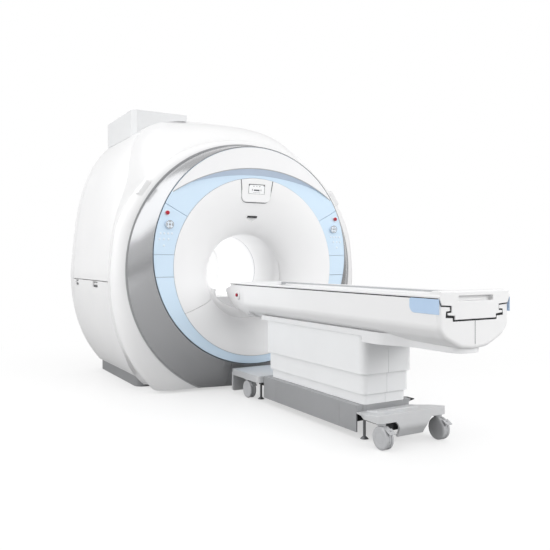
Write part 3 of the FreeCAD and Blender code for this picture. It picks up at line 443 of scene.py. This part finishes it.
# injection-moulded plastic with a fine eroded skin: a clean pale blue with a soft sheen
blue = finish_of("moulded_plastic_pale_blue", "#d6e9f9", "#cde2f4", 1.2, 250, 0.05, (0.35, 0.45))
FACE_Y = 0.314                                  # the disk's front face
RING_RADIUS, HOLE_RADIUS, HOLE_Z = 0.840, 0.692, 0.948
SEAM_RISE = 0.5433                              # slope of the joints between crown and panels
left_seam, right_seam = Vector((-SEAM_RISE, 0, -1)), Vector((SEAM_RISE, 0, -1))


def ring_point(u, v):
    """From the ring's outside to its hole, whose circles have different middles."""
    angle = round_angle(u)
    c, s = math.cos(angle), math.sin(angle)
    outer = Vector((c * RING_RADIUS, FACE_Y, RING_Z + s * RING_RADIUS))
    inner = Vector((c * HOLE_RADIUS, FACE_Y, HOLE_Z + s * HOLE_RADIUS))
    return outer.lerp(inner, v)


def ring_part(name, node, *planes):
    """What is left of the ring after a cut along each plane."""
    bm = formed(240, 6, ring_point)
    for at, facing in planes:
        keep(bm, at, facing)
    return fit(piece(name, bm, blue, 0.012, 0.0012, forwards), "gantry", "panel_blue", node)


ring_part("blue_ring_foot", "ring_bottom", ((0, 0, 0.877), (0, 0, 1)))
for (side, sign), seam in zip(SIDES, (left_seam, right_seam)):
    own_side = (0, 0, 0), (-sign, 0, 0)
    ring_part(f"control_panel_{side}", f"panel_{side}",
              ((0, 0, 1.041), (0, 0, -1)), own_side, ((0, 0, 1.003), -seam))
    ring_part(f"panel_foot_{side}", f"panel_{side}",
              ((0, 0, 0.880), (0, 0, -1)), ((0, 0, 1.039), (0, 0, 1)), own_side)
ring_part("blue_ring_crown", "ring_top",
          ((0, 0, 1.006), left_seam), ((0, 0, 1.006), right_seam), ((0, 0, 1.0), (0, 0, -1)))

# ------------------------------------------------------------------ controls on the panels
# Each panel has a red emergency stop in a moulded collar, a four-way jog pad, and eight domed keys
# under one printed film. The heads are moulded plastic on sprung plungers, held from behind.

# polished moulded plastic: small and saturated, with one tight highlight
red = finish_of("moulded_plastic_red", "#b8283c", "#a91f32", 1, 60, 0.03, (0.25, 0.35))
# moulded keys: a cool white that only just lifts off the blue
key_white = finish_of("moulded_key_white", "#e8f1fa", "#dde8f3", 0.8, 30, 0.02, (0.25, 0.35))
# half outlines of the heads, as (radius, height above the panel)
CAP = ((0, 0.0215), (0.006, 0.0213), (0.012, 0.0195), (0.0145, 0.0165), (0.0150, 0.0130), (0.0135, 0.0110),
       (0.0095, 0.0105), (0.0090, -0.006), (0, -0.006))
COLLAR = ((0.0105, -0.002), (0.0105, 0.0030), (0.0180, 0.0042), (0.0215, 0.0034), (0.0225, 0.0015),
          (0.0225, -0.002), (0.0105, -0.002))
PAD = ((0, 0.0150), (0.0085, 0.0150), (0.0090, 0.0142), (0.0265, 0.0142), (0.0275, 0.0158), (0.0305, 0.0158),
       (0.0320, 0.0145), (0.0320, 0.0085), (0.0310, 0.0080), (0.0080, 0.0080), (0.0080, -0.006), (0, -0.006))
PAD_RING = ((0.0272, 0.0157), (0.0278, 0.0163), (0.0302, 0.0163), (0.0308, 0.0157), (0.0272, 0.0157))
KEY = ((0, 0.0028), (0.0040, 0.0026), (0.0055, 0.0018), (0.0065, 0.0024), (0.0082, 0.0018), (0.0088, 0),
       (0.0088, -0.002), (0, -0.002))
# places of the keys, as (distance from the middle, z)
KEYS = ((0.789, 1.1945), (0.760, 1.1945), (0.732, 1.1945), (0.703, 1.1945),
        (0.798, 1.153), (0.764, 1.153), (0.730, 1.153), (0.764, 1.106))
OUT = (0, -1, 0)


def turned(profile, at, axis, steps=48):
    """Spin a half outline of (radius, height along the axis) into a closed round piece."""
    bm = bmesh.new()
    along = Vector(axis)
    across = along.orthogonal().normalized()
    verts = [bm.verts.new(Vector(at) + across * radius + along * height) for radius, height in profile]
    for first, second in zip(verts, verts[1:]):
        bm.edges.new((first, second))
    bmesh.ops.spin(bm, geom=bm.verts[:] + bm.edges[:], cent=at, axis=along, angle=2 * math.pi, steps=steps,
                   use_merge=True)
    bmesh.ops.remove_doubles(bm, verts=bm.verts, dist=1e-6)
    bmesh.ops.recalc_face_normals(bm, faces=bm.faces)
    return bm


def joined(parts):
    """Several bmeshes as one."""
    whole = bmesh.new()
    for part in parts:
        mesh = bpy.data.meshes.new("part")
        part.to_mesh(mesh)
        part.free()
        whole.from_mesh(mesh)
        bpy.data.meshes.remove(mesh)
    return whole


def bar(middle, sizes, edge=0.0006):
    """A small block with rounded edges."""
    bm = bmesh.new()
    bmesh.ops.create_cube(bm, size=1, matrix=Matrix.Translation(middle) @ Matrix.Diagonal((*sizes, 1)))
    bmesh.ops.bevel(bm, geom=bm.edges[:], offset=min(edge, min(sizes) * 0.45), segments=2, affect="EDGES",
                    profile=0.5, material=-1)
    return bm


def pad_marks(at):
    """The raised ring, four strokes and middle square of a jog pad."""
    marks = [turned(PAD_RING, at, OUT)]
    for dx, dz in ((1, 0), (-1, 0), (0, 1), (0, -1)):
        marks.append(bar(at + Vector((dx * 0.0195, -0.0146, dz * 0.0195)),
                         (0.006 + 0.012 * abs(dz), 0.0016, 0.006 + 0.012 * abs(dx))))
    marks.append(bar(at + Vector((0, -0.0153, 0)), (0.0145, 0.0020, 0.0145)))
    return joined(marks)


for side, sign in SIDES:
    stop_at, jog_at = Vector((sign * 0.740, FACE_Y, 1.344)), Vector((sign * 0.724, FACE_Y, 1.259))
    fit(piece(f"stop_cap_{side}", turned(CAP, stop_at, OUT), red),
        f"stop_{side}", "button_red", f"stop_{side}")
    fit(piece(f"stop_collar_{side}", turned(COLLAR, stop_at, OUT), key_white), "gantry", "panel_blue")
    fit(piece(f"jog_pad_{side}", turned(PAD, jog_at, OUT), key_white),
        f"jog_{side}", "button_blue", f"jog_{side}")
    fit(piece(f"jog_marks_{side}", pad_marks(jog_at), groove_grey), f"jog_{side}", "button_blue")
    keys = [turned(KEY, (sign * x, FACE_Y, z), OUT, 20) for x, z in KEYS]
    fit(piece(f"panel_keys_{side}", joined(keys), key_white), "gantry", "panel_blue")

# ------------------------------------------------------------------ shade in the finger pockets
# The lower side covers lift off by two finger pockets a side. In each pocket sit two dark matt bars,
# a wide one low down and a thin one under its upper edge: painted shade of the pocket's hollow.

# painted shade, matt and dark: the pockets read as short dark slots in the white flank
cup_rubber = finish_of("painted_pocket_shade_dark", "#5a5b5d", "#4f5052", 0.8, 30, 0.1, (0.5, 0.6))


def flank_at(y, sign):
    """The skin's point at the height of the finger pockets, found by stepping down the flank."""
    level = math.pi if sign < 0 else 0
    steps = [drum(level - sign * n * 0.01, y) for n in range(20)]
    return min(steps, key=lambda point: abs(point.z - 0.800))


# two dark bars in each pocket: painted shade of its hollow
for side, sign in SIDES:
    cups = []
    for middle, half in RECESSES:
        at = Vector((flank_at(middle, sign).x - sign * 0.0085, middle, 0.7975))
        cups.append(bar(at, (0.006, 2 * half - 0.026, 0.017), 0.003))
        cups.append(bar(at + Vector((sign * 0.002, 0, 0.030)), (0.006, 2 * half - 0.020, 0.007), 0.003))
    fit(piece(f"finger_pocket_shades_{side}", joined(cups), cup_rubber), "gantry", "window_dark")

# ------------------------------------------------------------------ visor
# A white moulded crescent over the ring, proud at its middle, snapped on over the crown. A thin grey
# strip along its lower edge is painted shade under that edge, and a blue cove under it leads back to the ring.

# thin white moulding: a shade crisper than the gelcoat behind it
visor_white = finish_of("moulded_plastic_white", "#ececed", "#e6e6e7", 1.2, 250, 0.04, (0.3, 0.4))
# grey: the taped joint round the liner, and painted shade under the visor's lower edge, one thin line that
# parts the white from the blue
edge_grey = finish_of("grey_joint_tape_and_painted_edge_shade", "#b6b8bb", "#abadb0", 0.8, 30, 0.05, (0.4, 0.5))
# the ring's blue with painted shade: greyer, so it reads as the shaded underside of the visor
cove_blue = finish_of("cove_blue_with_painted_shade", "#c5d3e5", "#bccbde", 1.2, 250, 0.04, (0.35, 0.45))
HORN = 0.700                                    # half the distance between the crescent's tips


def visor_top(x):
    """Height of the crescent's upper edge, just inside the ring's outside."""
    return RING_Z + math.sqrt(0.839 ** 2 - x * x)


def visor_low(x):
    """Height of its lower edge, which is a flatter arc."""
    return 0.465 + math.sqrt(1.247 ** 2 - x * x)


def cone_y(x, z):
    """Depth of the visor's face: level with the ring at its top, 37 mm proud at its lower middle."""
    return FACE_Y - 0.037 * (RING_RADIUS - math.hypot(x, z - RING_Z)) / 0.167


def visor_point(u, v):
    """From tip to tip, and from the upper edge to the lower one."""
    x = math.sin((u - 0.5) * math.pi) * HORN
    z = visor_top(x) + (visor_low(x) - visor_top(x)) * v
    return Vector((x, cone_y(x, z), z))


def cove_point(u, v):
    """From under the visor's lower edge back to the ring."""
    x = math.sin((u - 0.5) * math.pi) * HORN * 0.985
    high, low = visor_low(x) - 0.0005, min(visor_low(x) - 0.001, -0.190 + math.sqrt(1.85 ** 2 - x * x))
    return Vector((x, cone_y(x, high), high)).lerp(Vector((x, 0.3138, low)), v)


def ribbon(inner, outer, closed=False):
    """A strip of faces between two lines of points."""
    bm = bmesh.new()
    rows = [[bm.verts.new(p) for p in line] for line in (inner, outer)]
    count = len(inner)
    for first in range(count if closed else count - 1):
        second = (first + 1) % count
        bm.faces.new((rows[0][first], rows[0][second], rows[1][second], rows[1][first]))
    return bm


def under_visor(drop, back):
    """A line along the visor's lower edge."""
    across = [math.sin((n / 60 - 0.5) * math.pi) * HORN * 0.99 for n in range(61)]
    return [Vector((x, cone_y(x, visor_low(x)) + back, visor_low(x) - drop)) for x in across]


fit(piece("visor_crescent", formed(120, 10, visor_point), visor_white, 0.004, 0.0012, forwards),
    "gantry", "shell_white", "visor")
# painted shade: a thin grey strip under the visor's lower edge
trim = ribbon(under_visor(-0.001, -0.001), under_visor(0.006, 0.001))
fit(piece("visor_edge_shade", trim, edge_grey, 0.002, 0, forwards), "gantry", "shell_white")
fit(piece("visor_cove", formed(120, 6, cove_point), cove_blue, 0.002, 0, forwards), "gantry", "panel_blue")

# ------------------------------------------------------------------ funnel and bore liner
# Two deep white mouldings, vacuum-formed and screwed to the ring's back, flare from the bore out to
# the ring. The liner is a rolled glass-fibre tube in two lengths with a taped joint, and a
# moulded bridge along its floor carries the table top.

# satin white under a thin clear coat: smooth, with light that fades slowly into the bore
funnel_white = finish_of("satin_moulded_funnel_white", "#f4f4f4", "#efeff0", 1.5, 500, 0.04, (0.34, 0.42),
                         in_Coat_Weight=0.1, in_Coat_Roughness=0.3)
FLARE_POWER = 1.65                              # how late the funnel turns in to the bore
LEAD_IN_Y, LEAD_IN, TUBE_LENGTH = 0.541, 0.099, 1.016
BORE_RADIUS = 0.300
JOINT_RISE = 0.255 / 0.8                        # slope of the joint between the two mouldings
UPPER_FOOT, LOWER_TOP = 0.8015, 0.799           # heights of its two edges at the middle
MOUTH_RADIUS, MOUTH_Y = 0.690, 0.312
NARROWS, SINKS, FUNNEL_DEPTH = 0.352, 0.076, 0.227     # from the mouth to the bore


def funnel_circle(share):
    """Radius, middle height and depth of the funnel, from its mouth (0) to the liner (1)."""
    deep = 1 - (1 - share ** FLARE_POWER) ** (1 / FLARE_POWER)
    return MOUTH_RADIUS - NARROWS * share, HOLE_Z - SINKS * share, MOUTH_Y + FUNNEL_DEPTH * deep


def funnel_point(u, v):
    """From the mouth, in to the bore."""
    angle = round_angle(u)
    radius, middle, y = funnel_circle(math.sin(v * math.pi / 2))
    return Vector((math.cos(angle) * radius, y, middle + math.sin(angle) * radius))


def inwards(point):
    """Towards the drum's middle."""
    return -outwards(point)


def funnel_y(x, z):
    """Depth of the funnel's face at (x, z)."""
    near, far = 0.0, 1.0
    for _ in range(30):
        share = (near + far) / 2
        radius, middle, _depth = funnel_circle(share)
        near, far = (share, far) if math.hypot(x, z - middle) < radius else (near, share)
    return funnel_circle(near)[2]


def marker_dimple(bm):
    """Sink the three-cornered hollow that the positioning light shines out of."""
    near = [e for e in bm.edges if all(abs(v.co.x) < 0.075 and 1.27 < v.co.z < 1.38 for v in e.verts)]
    bmesh.ops.subdivide_edges(bm, edges=near, cuts=4, use_grid_fill=True)
    for vert in bm.verts:
        rise = (vert.co.z - 1.302) / 0.034
        half = 0.046 * rise
        if 0 < rise < 1.15 and abs(vert.co.x) < half:
            vert.co.y += 0.030 * rise * (1 - (vert.co.x / half) ** 2)


def liner_point(u, v):
    """The first rows narrow from the funnel's end to the bore, the others run back along it."""
    angle = round_angle(u)
    along = LEAD_IN * v / 0.3 if v < 0.3 else LEAD_IN + TUBE_LENGTH * (v - 0.3) / 0.7
    left_over = max(0, 1 - along / LEAD_IN) ** 3
    radius, middle = BORE_RADIUS + 0.038 * left_over, BORE_Z - 0.043 * left_over
    return Vector((math.cos(angle) * radius, LEAD_IN_Y + along, middle + math.sin(angle) * radius))


def liner_joint(y):
    """A circle just inside the liner, where its two lengths meet."""
    turns = [2 * math.pi * n / 160 for n in range(160)]
    inside = BORE_RADIUS - 0.0008
    return [Vector((math.cos(a) * inside, y, BORE_Z + math.sin(a) * inside)) for a in turns]


upper, lower = formed(240, 40, funnel_point), formed(240, 40, funnel_point)
for sign in (-1, 1):
    split(upper, (0, 0, UPPER_FOOT), (sign * JOINT_RISE, 0, 1))
    keep(lower, (0, 0, LOWER_TOP), (-sign * JOINT_RISE, 0, 1))
spots = [(f, f.calc_center_median()) for f in upper.faces]
below = [f for f, c in spots if c.z < UPPER_FOOT - abs(c.x) * JOINT_RISE]
bmesh.ops.delete(upper, geom=below, context="FACES")
marker_dimple(upper)
for level, bm in (("upper", upper), ("lower", lower)):
    fit(piece(f"funnel_{level}_moulding", bm, funnel_white, 0.005, 0.001, inwards),
        "gantry", "shell_white", f"funnel_{level}")
fit(piece("bore_liner_tube", formed(160, 40, liner_point), funnel_white, 0.005, 0.001, inwards),
    "gantry", "shell_white", "bore_liner")
dressed("bore_bridge", funnel_white, 0.002)
tape = ribbon(liner_joint(0.905), liner_joint(0.911), closed=True)
fit(piece("liner_joint_tape", tape, edge_grey, 0.0005, 0, inwards), "gantry", "shell_white")

# ------------------------------------------------------------------ display and marker light
# A small status display looks down at the patient from a housing let into the funnel, its joint
# closed by a grey rubber gasket. Below it the positioning light shines through a smoked window.

# dark grey rubber, matt: it outlines the housing
seal_grey = finish_of("moulded_rubber_seal_grey", "#6c6e71", "#606265", 0.8, 30, 0.1, (0.5, 0.6))
# polished acrylic, nearly black: a small dark glossy slot
smoked = finish_of("smoked_acrylic_window", "#3a3b3d", "#303133", 1, 60, 0.0, (0.1, 0.15))
# the display's smooth cover: the palest and glossiest patch of the front
lit_face = finish_of("display_face_white", "#fbfbfc", "#f4f5f6", 1, 60, 0.0, (0.15, 0.2))
# printed figures: a few plain grey strokes on the display's pale face
ink = finish_of("display_ink_grey", "#4c4e51", "#434548", 1, 30, 0.0, (0.3, 0.4))
# the display's marks, as (x, z, width, height)
MARKS = ((0, 1.5900, 0.142, 0.0050), (-0.0695, 1.555, 0.0030, 0.072), (0.0695, 1.555, 0.0030, 0.072),
         (-0.0650, 1.5840, 0.009, 0.009), (0.0650, 1.5840, 0.009, 0.009), (0, 1.5185, 0.139, 0.0015),
         (-0.026, 1.577, 0.010, 0.004), (0, 1.577, 0.007, 0.004), (0.026, 1.577, 0.010, 0.004),
         (-0.038, 1.549, 0.005, 0.012), (0.038, 1.549, 0.005, 0.012), (0, 1.547, 0.050, 0.010),
         (0, 1.529, 0.060, 0.0015))


def housing_line(grow):
    """The housing's outline, grown outwards, laid on the funnel's face."""
    corner, half, top, low = 0.042 + grow, 0.122 + grow, 1.622, 1.454 - grow
    points = [(-half - 0.016, top), (-half - 0.008, 1.56), (-half, low + corner)]
    points += [(-half + corner * (1 - math.cos(t)), low + corner * (1 - math.sin(t)))
               for t in [math.pi / 2 * n / 8 for n in range(1, 9)]]
    points += [(-x, z) for x, z in reversed(points)]
    return [Vector((x, funnel_y(x, z) - 0.0022, z)) for x, z in points]


def on_screen(x, z):
    """A point just in front of the display's face, which leans forward at its top."""
    return Vector((x, 0.3226 - (z - 1.5168) * 0.1086, z))


def mark(x, z, width, height):
    """A thin printed bar on the display's face."""
    bm = bmesh.new()
    corners = ((-0.5, -0.5), (0.5, -0.5), (0.5, 0.5), (-0.5, 0.5))
    bm.faces.new([bm.verts.new(on_screen(x + width * i, z + height * j)) for i, j in corners])
    return bm


dressed("display_housing", funnel_white, 0.004)
gasket = ribbon(housing_line(-0.001), housing_line(0.0055))
fit(piece("housing_gasket", gasket, seal_grey, 0.003, 0, forwards), "gantry", "shell_white")
dressed("display_screen", lit_face, 0.0005)
marks = joined([mark(*spot) for spot in MARKS])
fit(piece("display_marks", marks, ink, 0.0002, 0, forwards), "gantry", "screen_white")
dressed("marker_window", smoked, 0.001)

# ------------------------------------------------------------------ patient table
# A boat-shaped beam of moulded glass fibre carries the sliding top, with a thinner moulded pan
# under it and soft bumpers at its free end. Its nose rounds off towards the bore. The top is a
# shallow tray with a raised lip at the free end, on a keel in a channel.

# vacuum-formed pan, duller than the beam above it, and a little greyer as painted shade: the underside falls
# back
pan_white = finish_of("pan_white_with_painted_shade", "#e6e6e7", "#dedfe0", 1.5, 250, 0.06, (0.4, 0.5))
# soft integral-skin foam, matt: a small patch of stronger blue
soft_blue = finish_of("soft_bumper_blue", "#b9cfe8", "#afc7e2", 1, 80, 0.2, (0.5, 0.6))
for name, material, edge in (("table_beam", gelcoat, 0.003), ("nose_cap", gelcoat, 0.002),
                             ("tabletop", gelcoat, 0.003), ("table_pan", pan_white, 0.003),
                             ("bumper_pads", soft_blue, 0.0015)):
    dressed(name, material, edge)

# painted shade of the joint between the sliding top and the beam: a dull black strip, wider than the gap,
# as a dark line along the table's side and round the channel at the free end
brush = finish_of("painted_joint_shade_black", "#2a2b2d", "#1f2022", 0.8, 20, 0.3, (0.7, 0.8))
END_Y = -1.8845                                 # just outside the beam's free end
# the left half of the beam's channel and of the keel in it, seen from the end, as (x, z)
CHANNEL = ((-0.240, 0.820), (-0.226, 0.787), (-0.164, 0.7825), (-0.164, 0.756), (-0.1885, 0.755),
           (-0.1885, 0.738), (-0.143, 0.7345), (-0.143, 0.715))
KEEL = ((-0.240, 0.8225), (-0.226, 0.7895), (-0.1615, 0.785), (-0.1615, 0.753), (-0.186, 0.7523),
        (-0.186, 0.741), (-0.1405, 0.737), (-0.1405, 0.7175))
OVERLAP = (1.6, 1.6, 1.6, 1.7, 1.7, 3.0, 3.2, 2.2)     # how far the painted shade reaches, in gap widths
inner, outer = [], []
for (cx, cz), (kx, kz), lap in zip(CHANNEL, KEEL, OVERLAP):
    inner.append((kx + 0.15 * (cx - kx), kz + 0.15 * (cz - kz)))
    outer.append((cx + lap * (cx - kx), cz + lap * (cz - kz)))
lines = [[Vector((x, END_Y, z)) for x, z in line + [(-x, z) for x, z in reversed(line)]]
         for line in (inner, outer)]
fit(piece("end_joint_shade", ribbon(*lines), brush, 0.0006, 0, forwards), "table_beam", "window_dark")
slit = ribbon(*([Vector((x, END_Y, z)) for z in (0.7125, 0.5960)] for x in (-0.0018, 0.0018)))
fit(piece("end_joint", slit, seal_grey, 0.0006, 0, forwards), "table_beam", "window_dark")


def sideways(point):
    """Away from the table's middle line."""
    return Vector((point.x, 0, 0))


# painted shade along the joint on each side of the beam
SEAL_RUN = ((0.2404, -1.880), (0.2404, 0.078), (0.2398, 0.082), (0.2396, 0.200), (0.2362, 0.306))
for side, sign in SIDES:
    low, high = ([Vector((sign * x, y, z)) for x, y in SEAL_RUN] for z in (0.8162, 0.8221))
    seal = piece(f"side_joint_shade_{side}", ribbon(low, high), brush, 0.003, 0, sideways)
    fit(seal, "table_beam", "window_dark")

# the round stop on the nose's side, in a moulded bezel
NOSE_STOP = ((0, 0.0125), (0.0085, 0.0120), (0.0120, 0.0105), (0.0130, 0.0085), (0.0122, 0.0064),
             (0.0070, 0.0060), (0.0070, -0.010), (0, -0.010))
BEZEL = ((0.0150, -0.003), (0.0150, 0.0018), (0.0180, 0.0024), (0.0250, 0.0018), (0.0280, 0.0004),
         (0.0280, -0.003), (0.0150, -0.003))
stop_at, leftwards = Vector((-0.243, 0.176, 0.743)), (-1, 0, 0)
fit(piece("table_stop_cap", turned(NOSE_STOP, stop_at, leftwards), red),
    "table_stop", "button_red", "table_stop")
fit(piece("table_stop_collar", turned(BEZEL, stop_at, leftwards), visor_white), "table_beam", "shell_white")

# painted shade of the tray's inner walls: a grey strip along each, a grey line inside the tray
rail_grey = finish_of("painted_tray_wall_shade_grey", "#b4b6b8", "#a8aaad", 0.8, 40, 0.05, (0.35, 0.45))
RAIL_RUN = ((0.2085, -1.690), (0.2085, 0.215), (0.2065, 0.238), (0.2000, 0.252), (0.1900, 0.260))
for side, sign in SIDES:
    low, high = ([Vector((sign * x, y, z)) for x, y in RAIL_RUN] for z in (0.811, 0.831))
    rail = piece(f"tray_wall_shade_{side}", ribbon(low, high), rail_grey, 0.002, 0, lambda point: -sideways(point))
    fit(rail, "tabletop", "shell_white")

# ------------------------------------------------------------------ pedestal
# Three thermoformed shrouds hang one inside the other and telescope as the beam rises. Inside them
# a pair of ground steel columns lifts it, bolted to the frame of the base.

# thermoformed sheet, satin: the same white family as the beam, a touch greyer
shroud_grey = finish_of("thermoformed_shroud_light_grey", "#eaebec", "#e3e4e5", 1.5, 200, 0.08, (0.4, 0.5))
# ground and oiled steel: a plain metal sheen, hidden by the shrouds
ground_steel = finish_of("ground_steel", "#a9abad", "#94969a", 1, 60, 0.2, (0.3, 0.45), in_Metallic=1.0)
for name in ("shroud_top", "shroud_mid", "shroud_low"):
    dressed(name, shroud_grey)
dressed("lift_columns", ground_steel, 0.001)

# ------------------------------------------------------------------ base
# Folded steel covers, painted grey, hide a welded frame. The end plates are pressed and painted
# silver, and a painted foot closes the lowest shroud where the free plate dips to it. Four
# levelling feet wind down from the frame.

# grey paint with a little metal in it: a soft mid-grey skirt
base_grey = finish_of("painted_base_grey", "#b2b3b5", "#a8a9ab", 1.5, 150, 0.05, (0.35, 0.45),
                      in_Metallic=0.4)
# smooth silver paint: it mirrors the pedestal as a dim soft patch
plate_silver = finish_of("painted_plate_silver", "#e9eaeb", "#dfe0e2", 1.5, 150, 0.02, (0.28, 0.34),
                         in_Metallic=0.5)
# dull black powder coat: dark gaps under the covers
dark_frame = finish_of("powder_coated_frame_black", "#37383a", "#2e2f31", 1, 60, 0.2, (0.5, 0.6))
# zinc plate: small grey glints near the floor
zinc = finish_of("zinc_plated_foot", "#8a8b8d", "#7d7e80", 0.8, 30, 0.1, (0.35, 0.45), in_Metallic=0.8)


def dished(co):
    """The top of the free-end plate falls from its lip towards the pedestal."""
    if co.z > 0.16:
        co.z -= 0.036 * (co.y + 1.46) / 0.258


def foot_line(z):
    """Round the end of the lowest shroud, just inside it."""
    corner = [(0.127 + 0.025 * math.sin(a), 1.189 + 0.025 * math.cos(a))
              for a in (math.pi / 2 * (1 - n / 6) for n in range(7))]
    half = [(0.152, 1.150), *corner]
    return [Vector((x, -y, z)) for x, y in half] + [Vector((-x, -y, z)) for x, y in reversed(half)]


dressed("base_skirt", base_grey, 0.001)
dressed("end_plate_free", plate_silver, 0.003, bend=dished)
foot = ribbon(foot_line(0.145), foot_line(0.188))
fit(piece("pedestal_foot", foot, base_grey, 0.003, 0, lambda point: Vector((point.x, point.y + 1.1, 0))),
    "table_base", "base_gray")
end_panel = bar(Vector((0, -1.199, 0.164)), (0.389, 0.004, 0.041))
fit(piece("base_end_panel", end_panel, base_grey), "table_base", "base_gray")
for name, material, edge in (("end_plate_dock", plate_silver, 0.003), ("chassis", dark_frame, 0.001),
                             ("levelling_feet", zinc, 0.0008), ("release_pedal", dark_frame, 0.0015)):
    dressed(name, material, edge)

# ------------------------------------------------------------------ casters
# Twin-wheel swivel casters: nylon body and wheel covers, grey tread that leaves no marks, and a
# pressed brake lever over the wheels.

# moulded nylon, satin: one light grey for body, wheels and lever
nylon = finish_of("caster_nylon_grey", "#bcbdbf", "#b2b3b5", 1, 60, 0.06, (0.4, 0.5))
WHEEL_RADIUS = 0.0625
WHEEL = ((0, 0.0238), (0.0280, 0.0238), (0.0300, 0.0228), (0.0330, 0.0228), (0.0355, 0.0240), (0.0480, 0.0250),
         (0.0560, 0.0243), (0.0605, 0.0222), (WHEEL_RADIUS, 0.0180), (WHEEL_RADIUS, 0.0105), (0.0610, 0.0078),
         (0.0570, 0.0062), (0, 0.0062))
AXLE = ((0, -0.0064), (0.0058, -0.0064), (0.0058, 0.0064), (0, 0.0064))
TRAIL = 0.015                                   # how far the axle sits behind the swivel
for end, swivel_y in (("free", -1.425), ("dock", 0.075)):
    for side, sign in SIDES:
        tag = f"{end}_{side}"
        axle = Vector((sign * 0.2015, swivel_y - TRAIL, WHEEL_RADIUS))
        pair = [turned(WHEEL, axle, (1, 0, 0)), turned(WHEEL, axle, (-1, 0, 0)),
                turned(AXLE, axle, (1, 0, 0), 24)]
        fit(piece(f"wheel_pair_{tag}", joined(pair), nylon), f"wheels_{tag}", "wheel_gray", f"wheels_{tag}")
        dressed(f"caster_body_{tag}", nylon, 0.001)
        dressed(f"brake_lever_{tag}", nylon, 0.001)

# ------------------------------------------------------------------ stage, light and camera
# A pale studio floor under soft boxes, as in a product cut-out: the floor shows white, and throws
# less light back than it shows.

# matt white board, more than half plain white under the machine and wholly so from 4 m away:
# it keeps a soft shadow at the wheels and has no horizon
floor_paint = finish_of("studio_floor_white", "#fbfbfb", "#f8f8f8", 4, 900, 0.0, (0.5, 0.6))
tree = floor_paint.node_tree
shown, surface = tree.nodes["Principled BSDF"], tree.nodes["Material Output"]
place = add(tree, "ShaderNodeTexCoord").outputs["Object"]
away = add(tree, "ShaderNodeVectorMath", {0: place}, operation="LENGTH").outputs["Value"]
far = add(tree, "ShaderNodeMapRange", {"Value": away}, interpolation_type="SMOOTHSTEP",
          in_From_Min=1.0, in_From_Max=4.0, in_To_Min=0.55)
white = add(tree, "ShaderNodeEmission", in_Color=(1, 1, 1, 1))
swept = add(tree, "ShaderNodeMixShader", {0: far.outputs[0], 1: shown.outputs[0], 2: white.outputs[0]})
bounce = add(tree, "ShaderNodeBsdfDiffuse", in_Color=linear("#acacac"))
seen = add(tree, "ShaderNodeLightPath").outputs["Is Camera Ray"]
mixed = add(tree, "ShaderNodeMixShader", {0: seen, 1: bounce.outputs[0], 2: swept.outputs[0]})
tree.links.new(mixed.outputs[0], surface.inputs["Surface"])
ground = formed(2, 2, lambda u, v: Vector(((u - 0.5) * 400, (v - 0.5) * 400, 0)))
floor = piece("studio_floor", ground, floor_paint)

# white all round: plain to the camera, dimmer as light, and dimmer still in reflections
world = bpy.data.worlds.new("studio")
bpy.context.scene.world = world
world.use_nodes = True
tree = world.node_tree
tree.nodes.clear()
path = add(tree, "ShaderNodeLightPath").outputs
around, mirrored, behind = (
    add(tree, "ShaderNodeBackground", in_Color=(1, 1, 1, 1), in_Strength=strength).outputs[0]
    for strength in (0.70, 0.60, 1.0))
lit = add(tree, "ShaderNodeMixShader", {0: path["Is Glossy Ray"], 1: around, 2: mirrored}).outputs[0]
whole = add(tree, "ShaderNodeMixShader", {0: path["Is Camera Ray"], 1: lit, 2: behind}).outputs[0]
add(tree, "ShaderNodeOutputWorld", {"Surface": whole})


def softbox(name, at, towards, width, height, watts, mirrored=False):
    """A soft box that lights the object or, where mirrored, only shows in its reflections."""
    lamp = bpy.data.lights.new(name, "AREA")
    lamp.shape, lamp.size, lamp.size_y, lamp.energy = "RECTANGLE", width, height, watts
    made = bpy.data.objects.new(name, lamp)
    bpy.context.scene.collection.objects.link(made)
    made.location = at
    made.rotation_euler = (Vector(towards) - Vector(at)).to_track_quat("-Z", "Y").to_euler()
    made.visible_glossy, made.visible_diffuse = mirrored, not mirrored
    made.visible_camera = False


# four boxes light it all round, a small one lifts the far end of the bore, and the last one only
# shows in the silver band
softbox("overhead_box", (0, 0, 6.0), (0, 0, 0), 8, 8, 130)
softbox("left_box", (-7.0, 0.5, 2.2), (-0.5, 0.0, 0.7), 4.5, 3.0, 240)
softbox("front_box", (1.8, -7.5, 3.0), (0, 0.6, 0.9), 5, 3, 215)
softbox("right_box", (5.5, -3.5, 2.6), (0.3, 0.3, 0.9), 3, 3, 75)
softbox("bore_box", (-0.05, 1.32, 1.13), (0.30, 1.30, 0.88), 0.25, 0.5, 3.5)
softbox("band_box", (-6.4, 2.6, 6.5), (-0.7, 0.4, 1.4), 8.0, 7.2, 200, mirrored=True)

# a level camera at eye height, with the picture shifted: its upright edges stay upright
PICTURE, FOCAL, HORIZON = 550, 640, 260.3       # in pixels of the picture
camera_data = bpy.data.cameras.new("camera")
camera_data.sensor_width = 36
camera_data.lens = 36 * FOCAL / PICTURE
camera_data.shift_y = (HORIZON - PICTURE / 2) / PICTURE
camera = bpy.data.objects.new("camera", camera_data)
bpy.context.scene.collection.objects.link(camera)
camera.location = (-2.3994, -4.07, 1.0)
camera.rotation_euler = (math.radians(90), 0, math.radians(-30.3))
bpy.context.scene.camera = camera
bpy.context.scene.view_settings.view_transform = "Standard"
